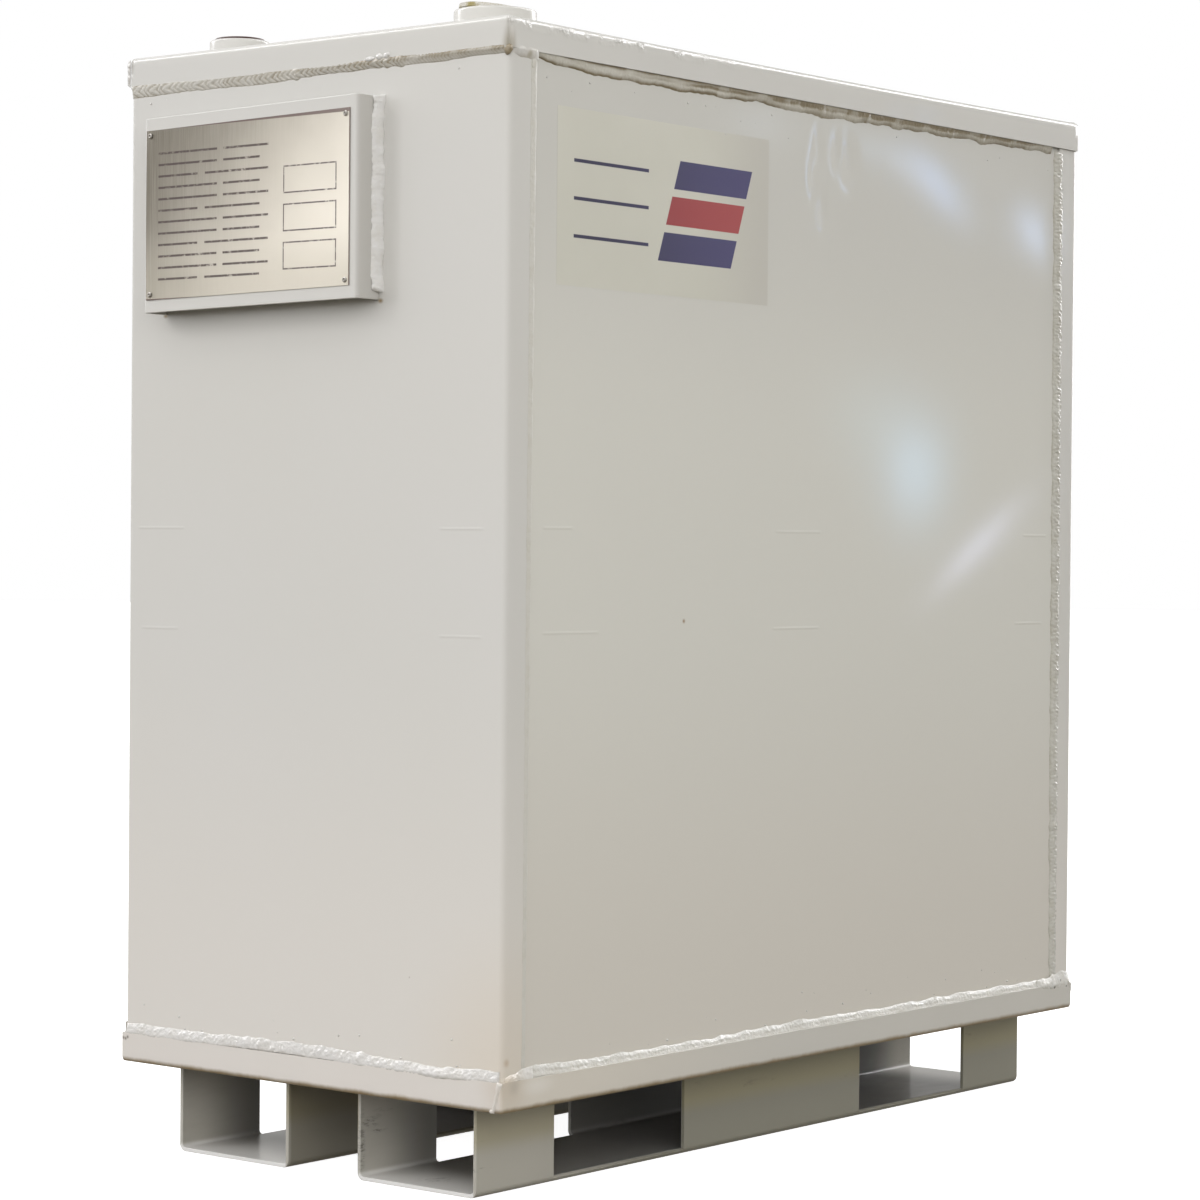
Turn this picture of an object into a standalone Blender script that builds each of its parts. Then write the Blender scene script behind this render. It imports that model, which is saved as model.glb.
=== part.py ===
"""Vertical double-wall storage tank on two fork-lift skid channels.

Everything is in metres, +Z up. The floor is z = 0 and the origin is the middle of the
footprint's bounding box. The nameplate end faces -Y (front), the label side faces +X (right).
Run it with: blender --background --python part.py
"""

import math

import bmesh
import bpy
from mathutils import Matrix

# Driving dimensions: a 24 x 48 x 48 inch body on skids a little over 4 inches high
TANK_WIDTH = 0.6096
TANK_LENGTH = 1.2192
TANK_HEIGHT = 1.2192
SHEET = 0.003
GAP = 0.0003
BEND_RADIUS = 0.007
BEND_STEPS = 6
PAN_BEND_STEPS = 4
SHARP_BEND = 40.0

# Top and bottom pans: sheets with turned-over edges that lap outside the body
FLANGE = 0.035

# End sheets wrap round the corners and lap over the side sheets
RETURN_FLANGE = 0.046
SEAM_LAP = 0.015

# Skid channels
SKID_HEIGHT = 0.107
SKID_WIDTH = 0.180
SKID_PLATE = 0.0048
SKID_BEND_RADIUS = 0.009
SKID_SIDE_INSET = 0.068
SKID_END_INSET = 0.0345
POCKET_LENGTH = 0.249
POCKET_FROM_END = 0.138
POCKET_SILL = 0.0055

# Weld beads: how far each stands off its sheet, and how far it spreads along it
WELD_THROAT = 0.0048
SIDE_WELD_THROAT = 0.0078
END_TOP_WELD_HEIGHT = 0.0105
SIDE_TOP_WELD_HEIGHT = 0.0135
END_FOOT_WELD_HEIGHT = 0.0135
SIDE_FOOT_WELD_HEIGHT = 0.0125
SEAM_WELD_WIDTH = 0.0105
SEAM_WELD_THROAT = 0.0041
BEAD_ARC_STEPS = 5
RING_BEAD_STEPS = 3

# Nameplate and the folded bracket that carries it
BRACKET_WIDTH = 0.348
BRACKET_HEIGHT = 0.232
BRACKET_STANDOFF = 0.038
BRACKET_SHEET = 0.003
BRACKET_BEND_RADIUS = 0.006
BRACKET_FROM_LEFT = 0.066
BRACKET_FROM_TANK_FOOT = 0.908
BRACKET_WELD_WIDTH = 0.007
BRACKET_WELD_INSET = 0.003
PLATE_WIDTH = 0.330
PLATE_HEIGHT = 0.202
PLATE_THICKNESS = 0.001
PLATE_SHIFT = -0.0022
RIVET_FROM_EDGE = 0.0065
RIVET_SHANK_RADIUS = 0.0016
RIVET_HEAD_RADIUS = 0.0034
RIVET_HEAD_HEIGHT = 0.0014
RIVET_CROWN_RADIUS = 0.0020
RIVET_CROWN_HEIGHT = 0.0011
RIVET_GRIP = 0.0065

# Pipe couplings in the lid: (outer radius, bore radius)
LARGE_PORT = (0.0475, 0.0420)
SMALL_PORT = (0.0365, 0.0306)
LARGE_PORT_FROM_SIDE = 0.090
SMALL_PORT_FROM_SIDE = 0.112
PORT_FROM_END = 0.080
FRONT_PORT_RISE = 0.022
REAR_PORT_RISE = 0.018
PORT_DEPTH = 0.030
PORT_ROUND = 0.002
PORT_ROUND_CUT = 0.0006
PORT_CHAMFER = 0.001
PORT_WELD_WIDTH = 0.0065
PORT_WELD_HEIGHT = 0.0055

# Plastic cup plugs pushed into the couplings; the front large one sits crooked and the rear ones flush
PLUG_PLAY = 0.0004
PLUG_PROUD = 0.0028
PLUG_LIP = 0.0055
PLUG_ROUND = 0.001
PLUG_STEP = 0.0012
PLUG_TAPER = 0.003
PLUG_DEPTH = 0.018
PLUG_WALL = 0.0018
LEAN_ANGLE = 6.8
LEAN_HEADING = 218.8
LEAN_SHIFT = 0.0002
LEAN_RISE = 0.0033
ROUND_STEPS = 40
RIVET_STEPS = 16
MERGE_DISTANCE = 0.00001

# What follows from the dimensions above
LAP_STEP = SHEET + GAP
BODY_WIDTH = TANK_WIDTH - 2 * LAP_STEP
BODY_LENGTH = TANK_LENGTH - 2 * LAP_STEP
FOOT_Z = SKID_HEIGHT
TOP_Z = SKID_HEIGHT + TANK_HEIGHT
END_FACE_Y = BODY_LENGTH / 2
SIDE_FACE_X = BODY_WIDTH / 2 - LAP_STEP
LID_EDGE_Z = TOP_Z - FLANGE
PAN_EDGE_Z = FOOT_Z + FLANGE
BRACKET_FACE_REACH = END_FACE_Y + BRACKET_STANDOFF
FRONT_REACH = BRACKET_FACE_REACH + GAP + PLATE_THICKNESS + GAP + RIVET_HEAD_HEIGHT
REAR_REACH = END_FACE_Y + GAP + WELD_THROAT
TANK_Y = (FRONT_REACH - REAR_REACH) / 2
SKID_LENGTH = TANK_LENGTH - 2 * SKID_END_INSET
SKID_X = TANK_WIDTH / 2 - SKID_SIDE_INSET - SKID_WIDTH / 2
SIDE_RUN = BODY_LENGTH - 2 * RETURN_FLANGE

# Direction that each wall faces, as an angle about +Z
FACING = {"right": 0.0, "rear": 90.0, "left": 180.0, "front": -90.0}


def clear_scene():
    for item in list(bpy.data.objects):
        bpy.data.objects.remove(item, do_unlink=True)


def new_collection(name):
    collection = bpy.data.collections.new(name)
    bpy.context.scene.collection.children.link(collection)
    return collection


def principled(name, colour, roughness, metallic=0.0):
    material = bpy.data.materials.new(name)
    material.use_nodes = True
    shader = material.node_tree.nodes["Principled BSDF"]
    shader.inputs["Base Color"].default_value = (*colour, 1.0)
    shader.inputs["Roughness"].default_value = roughness
    shader.inputs["Metallic"].default_value = metallic
    return material


def add_object(name, data, material=None, collection=None):
    made = bpy.data.objects.new(name, data)
    (collection or TANK).objects.link(made)
    if material:
        data.materials.append(material)
    return made


def mesh_from(name, bm):
    bmesh.ops.recalc_face_normals(bm, faces=bm.faces)
    mesh = bpy.data.meshes.new(name)
    bm.to_mesh(mesh)
    bm.free()
    return mesh


def smooth(item, degrees=SHARP_BEND):
    item.data.shade_smooth()
    item.data.set_sharp_from_angle(angle=math.radians(degrees))


def cutter(name, mesh, location, rotation=(0.0, 0.0, 0.0)):
    made = add_object(name, mesh, collection=CUTTERS)
    made.location = location
    made.rotation_euler = rotation
    made.hide_render = True
    made.display_type = "WIRE"
    return made


def box_mesh(name, size):
    bm = bmesh.new()
    bmesh.ops.create_cube(bm, size=1.0, matrix=Matrix.Diagonal((*size, 1.0)))
    return mesh_from(name, bm)


def rod_mesh(name, radius, length, steps):
    bm = bmesh.new()
    bmesh.ops.create_cone(bm, cap_ends=True, segments=steps, radius1=radius, radius2=radius, depth=length)
    return mesh_from(name, bm)


def cut(item, tool):
    modifier = item.modifiers.new("cut_" + tool.name, "BOOLEAN")
    modifier.operation = "DIFFERENCE"
    modifier.object = tool


def round_bends(item, radius, steps=BEND_STEPS):
    modifier = item.modifiers.new("bends", "BEVEL")
    modifier.width = radius
    modifier.segments = steps
    modifier.limit_method = "ANGLE"
    modifier.angle_limit = math.radians(SHARP_BEND)


def give_thickness(item, thickness):
    """Thickens an open surface to the inside of its normals."""
    modifier = item.modifiers.new("thickness", "SOLIDIFY")
    modifier.thickness = thickness
    modifier.offset = -1.0
    modifier.use_even_offset = True


def bent_strip(name, path, height, thickness, radius, material):
    """A sheet that stands on edge along an open plan path, with rounded bends.

    The path runs with the sheet's outer face on its right-hand side.
    """
    bm = bmesh.new()
    foot = [bm.verts.new((x, y, 0.0)) for x, y in path]
    edges = [bm.edges.new(pair) for pair in zip(foot, foot[1:])]
    raised = bmesh.ops.extrude_edge_only(bm, edges=edges)
    tops = [part for part in raised["geom"] if isinstance(part, bmesh.types.BMVert)]
    bmesh.ops.translate(bm, verts=tops, vec=(0.0, 0.0, height))
    bm.normal_update()
    (x0, y0), (x1, y1) = path[:2]
    first = min(bm.faces, key=lambda face: (face.calc_center_median().xy - foot[0].co.xy).length)
    if first.normal.x * (y1 - y0) - first.normal.y * (x1 - x0) < 0:
        bmesh.ops.reverse_faces(bm, faces=bm.faces)
    mesh = bpy.data.meshes.new(name)
    bm.to_mesh(mesh)
    bm.free()
    made = add_object(name, mesh, material)
    smooth(made)
    round_bends(made, radius)
    give_thickness(made, thickness)
    return made


def tray(name, size, material):
    """A pan: a flat sheet with its four edges turned down, open below."""
    bm = bmesh.new()
    bmesh.ops.create_cube(bm, size=1.0, matrix=Matrix.Diagonal((*size, FLANGE, 1.0)))
    bmesh.ops.translate(bm, verts=bm.verts, vec=(0.0, 0.0, -FLANGE / 2))
    under = min(bm.faces, key=lambda face: face.calc_center_median().z)
    bmesh.ops.delete(bm, geom=[under], context="FACES")
    mesh = mesh_from(name, bm)
    made = add_object(name, mesh, material)
    smooth(made)
    round_bends(made, BEND_RADIUS, PAN_BEND_STEPS)
    give_thickness(made, SHEET)
    return made


def turned(name, profile, steps, material, closed=True):
    """A solid turned about Z from (radius, height) points, listed down its outer side."""
    bm = bmesh.new()
    points = [bm.verts.new((radius, 0.0, height)) for radius, height in profile]
    for pair in zip(points, points[1:]):
        bm.edges.new(pair)
    if closed:
        bm.edges.new((points[-1], points[0]))
    mesh = bpy.data.meshes.new(name)
    bm.to_mesh(mesh)
    bm.free()
    made = add_object(name, mesh, material)
    screw = made.modifiers.new("turn", "SCREW")
    screw.steps = steps
    screw.render_steps = steps
    screw.use_merge_vertices = True
    screw.merge_threshold = MERGE_DISTANCE
    screw.use_smooth_shade = False
    return made


def bead_outline(near, throat, spread, steps=BEAD_ARC_STEPS):
    """Section of a fillet bead: x stands off the sheet, y runs along it from the lapping edge."""
    outline = [(near, near)]
    for step in range(steps + 1):
        angle = math.radians(90.0 * step / steps)
        outline.append((near + throat * math.cos(angle), near + (spread - near) * math.sin(angle)))
    return outline


def extruded(name, outline, length, material):
    """A flat outline in its own XY plane, extruded evenly along its Z."""
    curve = bpy.data.curves.new(name, "CURVE")
    curve.dimensions = "2D"
    curve.fill_mode = "BOTH"
    curve.extrude = length / 2
    spline = curve.splines.new("POLY")
    spline.points.add(len(outline) - 1)
    for point, (x, y) in zip(spline.points, outline):
        point.co = (x, y, 0.0, 1.0)
    spline.use_cyclic_u = True
    return add_object(name, curve, material)


def level_bead(name, side, location, length, throat, spread, upward, material):
    """A bead along the lower or upper edge of a lapping flange."""
    sign = 1.0 if upward else -1.0
    outline = [(x, sign * y) for x, y in bead_outline(GAP, throat, spread)]
    bead = extruded(name, outline, length, material)
    bead.location = location
    bead.rotation_euler = (math.radians(90.0), 0.0, math.radians(FACING[side]))
    return bead


def upright_bead(name, side, location, length, throat, spread, along, material):
    """A bead up the edge of a lapping sheet; along is the way it spreads, +1 or -1 in its wall's own y."""
    outline = [(x, along * y) for x, y in bead_outline(GAP, throat, spread)]
    bead = extruded(name, outline, length, material)
    bead.location = location
    bead.rotation_euler = (0.0, 0.0, math.radians(FACING[side]))
    return bead


def port_places():
    """Name, size, x, y and plug material of each port; the rear pair is the front pair turned half round."""
    end_y = TANK_LENGTH / 2 - PORT_FROM_END
    large_x = TANK_WIDTH / 2 - LARGE_PORT_FROM_SIDE
    small_x = SMALL_PORT_FROM_SIDE - TANK_WIDTH / 2
    return [
        ("front_large", LARGE_PORT, large_x, TANK_Y - end_y, YELLOW_PLASTIC),
        ("front_small", SMALL_PORT, small_x, TANK_Y - end_y, BROWN_PLASTIC),
        ("rear_large", LARGE_PORT, -large_x, TANK_Y + end_y, YELLOW_PLASTIC),
        ("rear_small", SMALL_PORT, -small_x, TANK_Y + end_y, BROWN_PLASTIC),
    ]


def make_pans():
    size = (TANK_WIDTH, TANK_LENGTH)
    lid = tray("top_pan", size, PAINT)
    lid.location = (0.0, TANK_Y, TOP_Z)
    for name, (outer, _), x, y, _ in port_places():
        mesh = rod_mesh(name + "_hole", outer + GAP, 4 * BEND_RADIUS, ROUND_STEPS)
        cut(lid, cutter(name + "_hole", mesh, (x, y, TOP_Z)))
    foot = tray("bottom_pan", size, PAINT)
    foot.location = (0.0, TANK_Y, FOOT_Z)
    foot.rotation_euler = (math.pi, 0.0, 0.0)


def make_walls():
    """End sheets with returns round the corners, and the side sheets lapped inside them."""
    low = FOOT_Z + BEND_RADIUS
    height = TANK_HEIGHT - 2 * BEND_RADIUS
    half = BODY_WIDTH / 2
    path = [(-half, RETURN_FLANGE), (-half, 0.0), (half, 0.0), (half, RETURN_FLANGE)]
    for end, sign in (("front", -1.0), ("rear", 1.0)):
        sheet = bent_strip(end + "_end_sheet", path, height, SHEET, BEND_RADIUS, PAINT)
        sheet.location = (0.0, TANK_Y + sign * END_FACE_Y, low)
        sheet.rotation_euler = (0.0, 0.0, math.radians(90.0 + sign * 90.0))
    size = (SHEET, SIDE_RUN + 2 * SEAM_LAP, height)
    for side, sign in (("right", 1.0), ("left", -1.0)):
        sheet = add_object(side + "_side_sheet", box_mesh(side + "_side_sheet", size), PAINT)
        sheet.location = (sign * (SIDE_FACE_X - SHEET / 2), TANK_Y, low + height / 2)


def make_lap_welds():
    """Beads under the lid's flanges and over the bottom pan's; the end ones below wrap round the corners."""
    end_run = BODY_WIDTH - 2 * BEND_RADIUS
    side_run = SIDE_RUN - 2 * GAP
    half = BODY_WIDTH / 2 + GAP + WELD_THROAT
    wrap = RETURN_FLANGE + GAP + WELD_THROAT
    path = [(-half, wrap), (-half, 0.0), (half, 0.0), (half, wrap)]
    for end, sign in (("front", -1.0), ("rear", 1.0)):
        face_y = TANK_Y + sign * END_FACE_Y
        level_bead(end + "_top_weld", end, (0.0, face_y, LID_EDGE_Z), end_run,
                   WELD_THROAT, END_TOP_WELD_HEIGHT, False, PAINT)
        band = bent_strip(end + "_bottom_weld", path, END_FOOT_WELD_HEIGHT, WELD_THROAT,
                          BEND_RADIUS + WELD_THROAT, PAINT)
        band.location = (0.0, face_y + sign * (GAP + WELD_THROAT), PAN_EDGE_Z + GAP)
        band.rotation_euler = (0.0, 0.0, math.radians(90.0 + sign * 90.0))
    for side, sign in (("right", 1.0), ("left", -1.0)):
        face_x = sign * SIDE_FACE_X
        level_bead(side + "_top_weld", side, (face_x, TANK_Y, LID_EDGE_Z), side_run,
                   SIDE_WELD_THROAT, SIDE_TOP_WELD_HEIGHT, False, PAINT)
        level_bead(side + "_bottom_weld", side, (face_x, TANK_Y, PAN_EDGE_Z), side_run,
                   SIDE_WELD_THROAT, SIDE_FOOT_WELD_HEIGHT, True, PAINT)


def make_seam_welds():
    low = PAN_EDGE_Z + SIDE_FOOT_WELD_HEIGHT + GAP
    high = LID_EDGE_Z - SIDE_TOP_WELD_HEIGHT - GAP
    for side, side_sign in (("right", 1.0), ("left", -1.0)):
        for end, end_sign in (("front", -1.0), ("rear", 1.0)):
            place = (side_sign * SIDE_FACE_X, TANK_Y + end_sign * SIDE_RUN / 2, (low + high) / 2)
            upright_bead(side + "_" + end + "_seam_weld", side, place, high - low,
                         SEAM_WELD_THROAT, SEAM_WELD_WIDTH, -end_sign * side_sign, PAINT)


def make_skids():
    half = SKID_WIDTH / 2
    height = SKID_HEIGHT - GAP
    for side, sign in (("right", 1.0), ("left", -1.0)):
        path = [(-half, height), (-half, 0.0), (half, 0.0), (half, height)]
        skid = bent_strip(side + "_skid_channel", path, SKID_LENGTH, SKID_PLATE, SKID_BEND_RADIUS, SKID_PAINT)
        skid.location = (sign * SKID_X, TANK_Y + SKID_LENGTH / 2, 0.0)
        skid.rotation_euler = (math.radians(90.0), 0.0, 0.0)
        size = (2 * SKID_WIDTH, POCKET_LENGTH, SKID_HEIGHT)
        reach = SKID_LENGTH / 2 - POCKET_FROM_END - POCKET_LENGTH / 2
        for end, end_sign in (("front", -1.0), ("rear", 1.0)):
            name = side + "_" + end + "_pocket"
            place = (sign * SKID_X, TANK_Y + end_sign * reach, POCKET_SILL + SKID_HEIGHT / 2)
            cut(skid, cutter(name, box_mesh(name, size), place))


def make_nameplate():
    centre_x = BRACKET_FROM_LEFT + BRACKET_WIDTH / 2 - TANK_WIDTH / 2
    low_z = FOOT_Z + BRACKET_FROM_TANK_FOOT
    middle_z = low_z + BRACKET_HEIGHT / 2
    wall_y = TANK_Y - END_FACE_Y
    face_y = wall_y - BRACKET_STANDOFF
    half = BRACKET_WIDTH / 2
    depth = BRACKET_STANDOFF - GAP
    path = [(-half, depth), (-half, 0.0), (half, 0.0), (half, depth)]
    bracket = bent_strip("nameplate_bracket", path, BRACKET_HEIGHT, BRACKET_SHEET, BRACKET_BEND_RADIUS, PAINT)
    bracket.location = (centre_x, face_y, low_z)
    size = (PLATE_WIDTH, PLATE_THICKNESS, PLATE_HEIGHT)
    plate = add_object("nameplate", box_mesh("nameplate", size), BRUSHED)
    plate.location = (centre_x + PLATE_SHIFT, face_y - GAP - PLATE_THICKNESS / 2, middle_z)
    head_y = face_y - GAP - PLATE_THICKNESS - GAP
    rivet_x = PLATE_WIDTH / 2 - RIVET_FROM_EDGE
    rivet_z = PLATE_HEIGHT / 2 - RIVET_FROM_EDGE
    corners = (("upper_left", -1, 1), ("upper_right", 1, 1), ("lower_left", -1, -1), ("lower_right", 1, -1))
    for corner, side, up in corners:
        place = (centre_x + PLATE_SHIFT + side * rivet_x, head_y, middle_z + up * rivet_z)
        hole = rod_mesh("hole_" + corner, RIVET_SHANK_RADIUS + GAP, 4 * RIVET_GRIP, RIVET_STEPS)
        drill = cutter("hole_" + corner, hole, place, (math.radians(90.0), 0.0, 0.0))
        cut(plate, drill)
        cut(bracket, drill)
        profile = [(0.0, RIVET_HEAD_HEIGHT), (RIVET_CROWN_RADIUS, RIVET_CROWN_HEIGHT),
                   (RIVET_HEAD_RADIUS, 0.0), (RIVET_SHANK_RADIUS, 0.0), (RIVET_SHANK_RADIUS, -RIVET_GRIP),
                   (0.0, -RIVET_GRIP)]
        rivet = turned("nameplate_rivet_" + corner, profile, RIVET_STEPS, BRUSHED, closed=False)
        rivet.location = place
        rivet.rotation_euler = (math.radians(90.0), 0.0, 0.0)
    for side, sign, along in (("left", -1.0, -1.0), ("right", 1.0, 1.0)):
        place = (centre_x + sign * half, wall_y, middle_z)
        upright_bead("bracket_" + side + "_weld", "front", place, BRACKET_HEIGHT - 2 * BRACKET_WELD_INSET,
                     BRACKET_WELD_WIDTH, BRACKET_WELD_WIDTH, along, PAINT)


def lean(plug, degrees, heading):
    """Tilts a plug so that its edge on the heading's side is lifted."""
    toward = (math.cos(math.radians(heading)), math.sin(math.radians(heading)))
    plug.rotation_mode = "AXIS_ANGLE"
    plug.rotation_axis_angle = (math.radians(degrees), toward[1], -toward[0], 0.0)
    plug.location.x -= LEAN_SHIFT * toward[0]
    plug.location.y -= LEAN_SHIFT * toward[1]
    plug.location.z += LEAN_RISE - PLUG_PROUD


def make_ports():
    for name, (outer, bore), x, y, plastic in port_places():
        front = name.startswith("front")
        rise = FRONT_PORT_RISE if front else REAR_PORT_RISE
        foot = -rise - PORT_DEPTH
        profile = [(outer - PORT_ROUND, 0.0), (outer - PORT_ROUND_CUT, -PORT_ROUND_CUT),
                   (outer, -PORT_ROUND), (outer, foot), (bore, foot), (bore, -PORT_CHAMFER),
                   (bore + PORT_CHAMFER, 0.0)]
        port = turned(name + "_port", profile, ROUND_STEPS, PAINT)
        port.location = (x, y, TOP_Z + rise)
        outline = bead_outline(GAP, PORT_WELD_HEIGHT, PORT_WELD_WIDTH, RING_BEAD_STEPS)
        ring = [(outer + across, up) for up, across in outline]
        weld = turned(name + "_port_weld", ring, ROUND_STEPS, PAINT)
        weld.location = (x, y, TOP_Z)
        lip = bore - PLUG_PLAY
        shank = lip - PLUG_STEP
        tip = lip - PLUG_TAPER
        profile = [(lip - PLUG_ROUND, 0.0), (lip, -PLUG_ROUND), (lip, -PLUG_LIP), (shank, -PLUG_LIP),
                   (tip, -PLUG_DEPTH), (0.0, -PLUG_DEPTH), (0.0, PLUG_WALL - PLUG_DEPTH),
                   (tip - PLUG_WALL, PLUG_WALL - PLUG_DEPTH), (shank - PLUG_WALL, 0.0)]
        plug = turned(name + "_plug", profile, ROUND_STEPS, plastic)
        plug.location = (x, y, TOP_Z + rise + (PLUG_PROUD if front else 0.0))
        if name == "front_large":
            lean(plug, LEAN_ANGLE, LEAN_HEADING)


clear_scene()
TANK = new_collection("storage_tank")
CUTTERS = new_collection("cutters")
PAINT = principled("white_paint", (0.72, 0.71, 0.68), 0.35)
SKID_PAINT = principled("skid_paint", (0.62, 0.61, 0.58), 0.45)
BRUSHED = principled("brushed_metal", (0.62, 0.60, 0.56), 0.35, 1.0)
YELLOW_PLASTIC = principled("yellow_plastic", (0.62, 0.50, 0.18), 0.45)
BROWN_PLASTIC = principled("brown_plastic", (0.16, 0.06, 0.04), 0.45)
make_pans()
make_walls()
make_lap_welds()
make_seam_welds()
make_skids()
make_nameplate()
make_ports()
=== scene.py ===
import math
from contextlib import contextmanager

import bmesh
import bpy
import numpy as np
from mathutils import Matrix, Vector


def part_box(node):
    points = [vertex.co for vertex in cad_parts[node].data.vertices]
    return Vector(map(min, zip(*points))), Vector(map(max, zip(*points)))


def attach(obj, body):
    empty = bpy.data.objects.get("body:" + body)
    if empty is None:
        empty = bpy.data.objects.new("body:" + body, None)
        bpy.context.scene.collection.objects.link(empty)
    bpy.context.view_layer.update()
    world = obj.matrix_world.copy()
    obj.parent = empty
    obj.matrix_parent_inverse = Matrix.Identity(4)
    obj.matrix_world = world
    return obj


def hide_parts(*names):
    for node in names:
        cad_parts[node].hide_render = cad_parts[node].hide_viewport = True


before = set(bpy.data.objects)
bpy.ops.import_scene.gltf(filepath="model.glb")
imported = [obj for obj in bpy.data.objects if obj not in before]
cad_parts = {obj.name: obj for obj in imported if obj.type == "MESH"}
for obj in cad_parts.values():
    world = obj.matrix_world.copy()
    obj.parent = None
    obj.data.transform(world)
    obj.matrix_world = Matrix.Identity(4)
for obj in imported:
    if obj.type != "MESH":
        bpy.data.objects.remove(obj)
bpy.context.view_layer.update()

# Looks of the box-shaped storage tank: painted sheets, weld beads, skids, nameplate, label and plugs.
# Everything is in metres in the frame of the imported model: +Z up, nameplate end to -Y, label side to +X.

MM = 0.001

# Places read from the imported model
LID_LOW, LID_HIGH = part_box("top_pan")
PAN_LOW, PAN_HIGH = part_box("bottom_pan")
END_LOW, END_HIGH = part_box("front_end_sheet")
SIDE_LOW, SIDE_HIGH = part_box("right_side_sheet")
BRACKET_LOW, BRACKET_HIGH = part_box("nameplate_bracket")
PLATE_LOW, PLATE_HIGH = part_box("nameplate")
SKID_LOW, SKID_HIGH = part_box("right_skid_channel")
CENTRE_Y = (LID_LOW[1] + LID_HIGH[1]) / 2
HALF_WIDTH = LID_HIGH[0]
HALF_LENGTH = LID_HIGH[1] - CENTRE_Y
LID_TOP = LID_HIGH[2]
PAN_FOOT = PAN_LOW[2]
PAN_EDGE = PAN_HIGH[2]
FRONT_Y = END_LOW[1]
BODY_HALF_WIDTH = END_HIGH[0]
SIDE_X = SIDE_HIGH[0]
LEFT_X = -HALF_WIDTH
NEAR_Y = CENTRE_Y - HALF_LENGTH
FAR_Y = 2 * CENTRE_Y - NEAR_Y

# Sheet metal sizes, as in the solids
SHEET = 3.0 * MM
BEND = 7.0 * MM
LAP = 3.3 * MM
FLANGE = PAN_EDGE - PAN_FOOT
LID_EDGE = LID_TOP - FLANGE
RETURN_FLANGE = 46 * MM
RETURN_FOOT = 40 * MM
SKID_PLATE = 4.8 * MM
SKID_BEND = 9.0 * MM
POCKET_LENGTH = 249 * MM
POCKET_FROM_END = 138 * MM
PLATE_SHEET = 0.9 * MM
FILM = 0.1 * MM
BODY_CORNER_FOOT = (BODY_HALF_WIDTH, FRONT_Y, PAN_EDGE)
PAN_CORNER = (HALF_WIDTH, NEAR_Y, PAN_EDGE)

# Distances between the points of the meshes
COARSE = 12 * MM
MEDIUM = 9 * MM
FINE = 7 * MM

# Parts of the way from a pan's bends to its middle where its flat sheet has a ring of points
PAN_RINGS = (0.03, 0.08, 0.16, 0.27, 0.40, 0.55, 0.70, 0.85, 1.0)

# Camera, solved from the straight edges of the photograph
CAMERA_PLACE = (2.7720, -3.5158, 0.6301)
CAMERA_YAW = 38.7535
CAMERA_PITCH = 0.8556
CAMERA_ROLL = 0.4949
FOCAL_PIXELS = 3439.7
PHOTO_PIXELS = 1200.0
SENSOR = 36.0

# Colours
WHITE = (0.66, 0.65, 0.615)
BROWN = (0.30, 0.20, 0.10)
RUST = (0.20, 0.075, 0.025)
GRIME = (0.10, 0.09, 0.07)


def wave_sizes(lengths):
    """Long waves are higher; together they reach about 1."""
    sizes = np.sqrt(lengths / lengths.max())
    return sizes / np.sqrt((sizes ** 2).sum() / 2) * 0.5


def smooth_field(seed, shortest, longest, count=16):
    """A smooth random function of two lengths, built from plane waves, mostly between -1 and 1."""
    rng = np.random.default_rng(seed)
    lengths = np.exp(rng.uniform(np.log(shortest), np.log(longest), count))
    angles = rng.uniform(0, 2 * math.pi, count)
    phases = rng.uniform(0, 2 * math.pi, count)
    sizes = wave_sizes(lengths)

    def field(u, v=0.0):
        u, v = np.broadcast_arrays(np.asarray(u, float), np.asarray(v, float))
        total = np.zeros(u.shape)
        for length, angle, phase, size in zip(lengths, angles, phases, sizes):
            along = (u * math.cos(angle) + v * math.sin(angle)) / length
            total += size * np.sin(2 * math.pi * along + phase)
        return total

    return field


def wander(seed, shortest, longest, count=12):
    """A smooth random function of one length, mostly between -1 and 1."""
    rng = np.random.default_rng(seed)
    lengths = np.exp(rng.uniform(np.log(shortest), np.log(longest), count))
    phases = rng.uniform(0, 2 * math.pi, count)
    sizes = wave_sizes(lengths)

    def line(u):
        u = np.asarray(u, float)[..., None]
        return (sizes * np.sin(2 * math.pi * u / lengths + phases)).sum(axis=-1)

    return line


def smoothstep(low, high, value):
    part = np.clip((np.asarray(value, float) - low) / (high - low), 0.0, 1.0)
    return part * part * (3 - 2 * part)


def steps_between(low, high, step):
    return np.linspace(low, high, max(2, int(math.ceil((high - low) / step)) + 1))


def offset(point, x, y, z):
    """The point moved by millimetres."""
    return (point[0] + x * MM, point[1] + y * MM, point[2] + z * MM)


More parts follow.
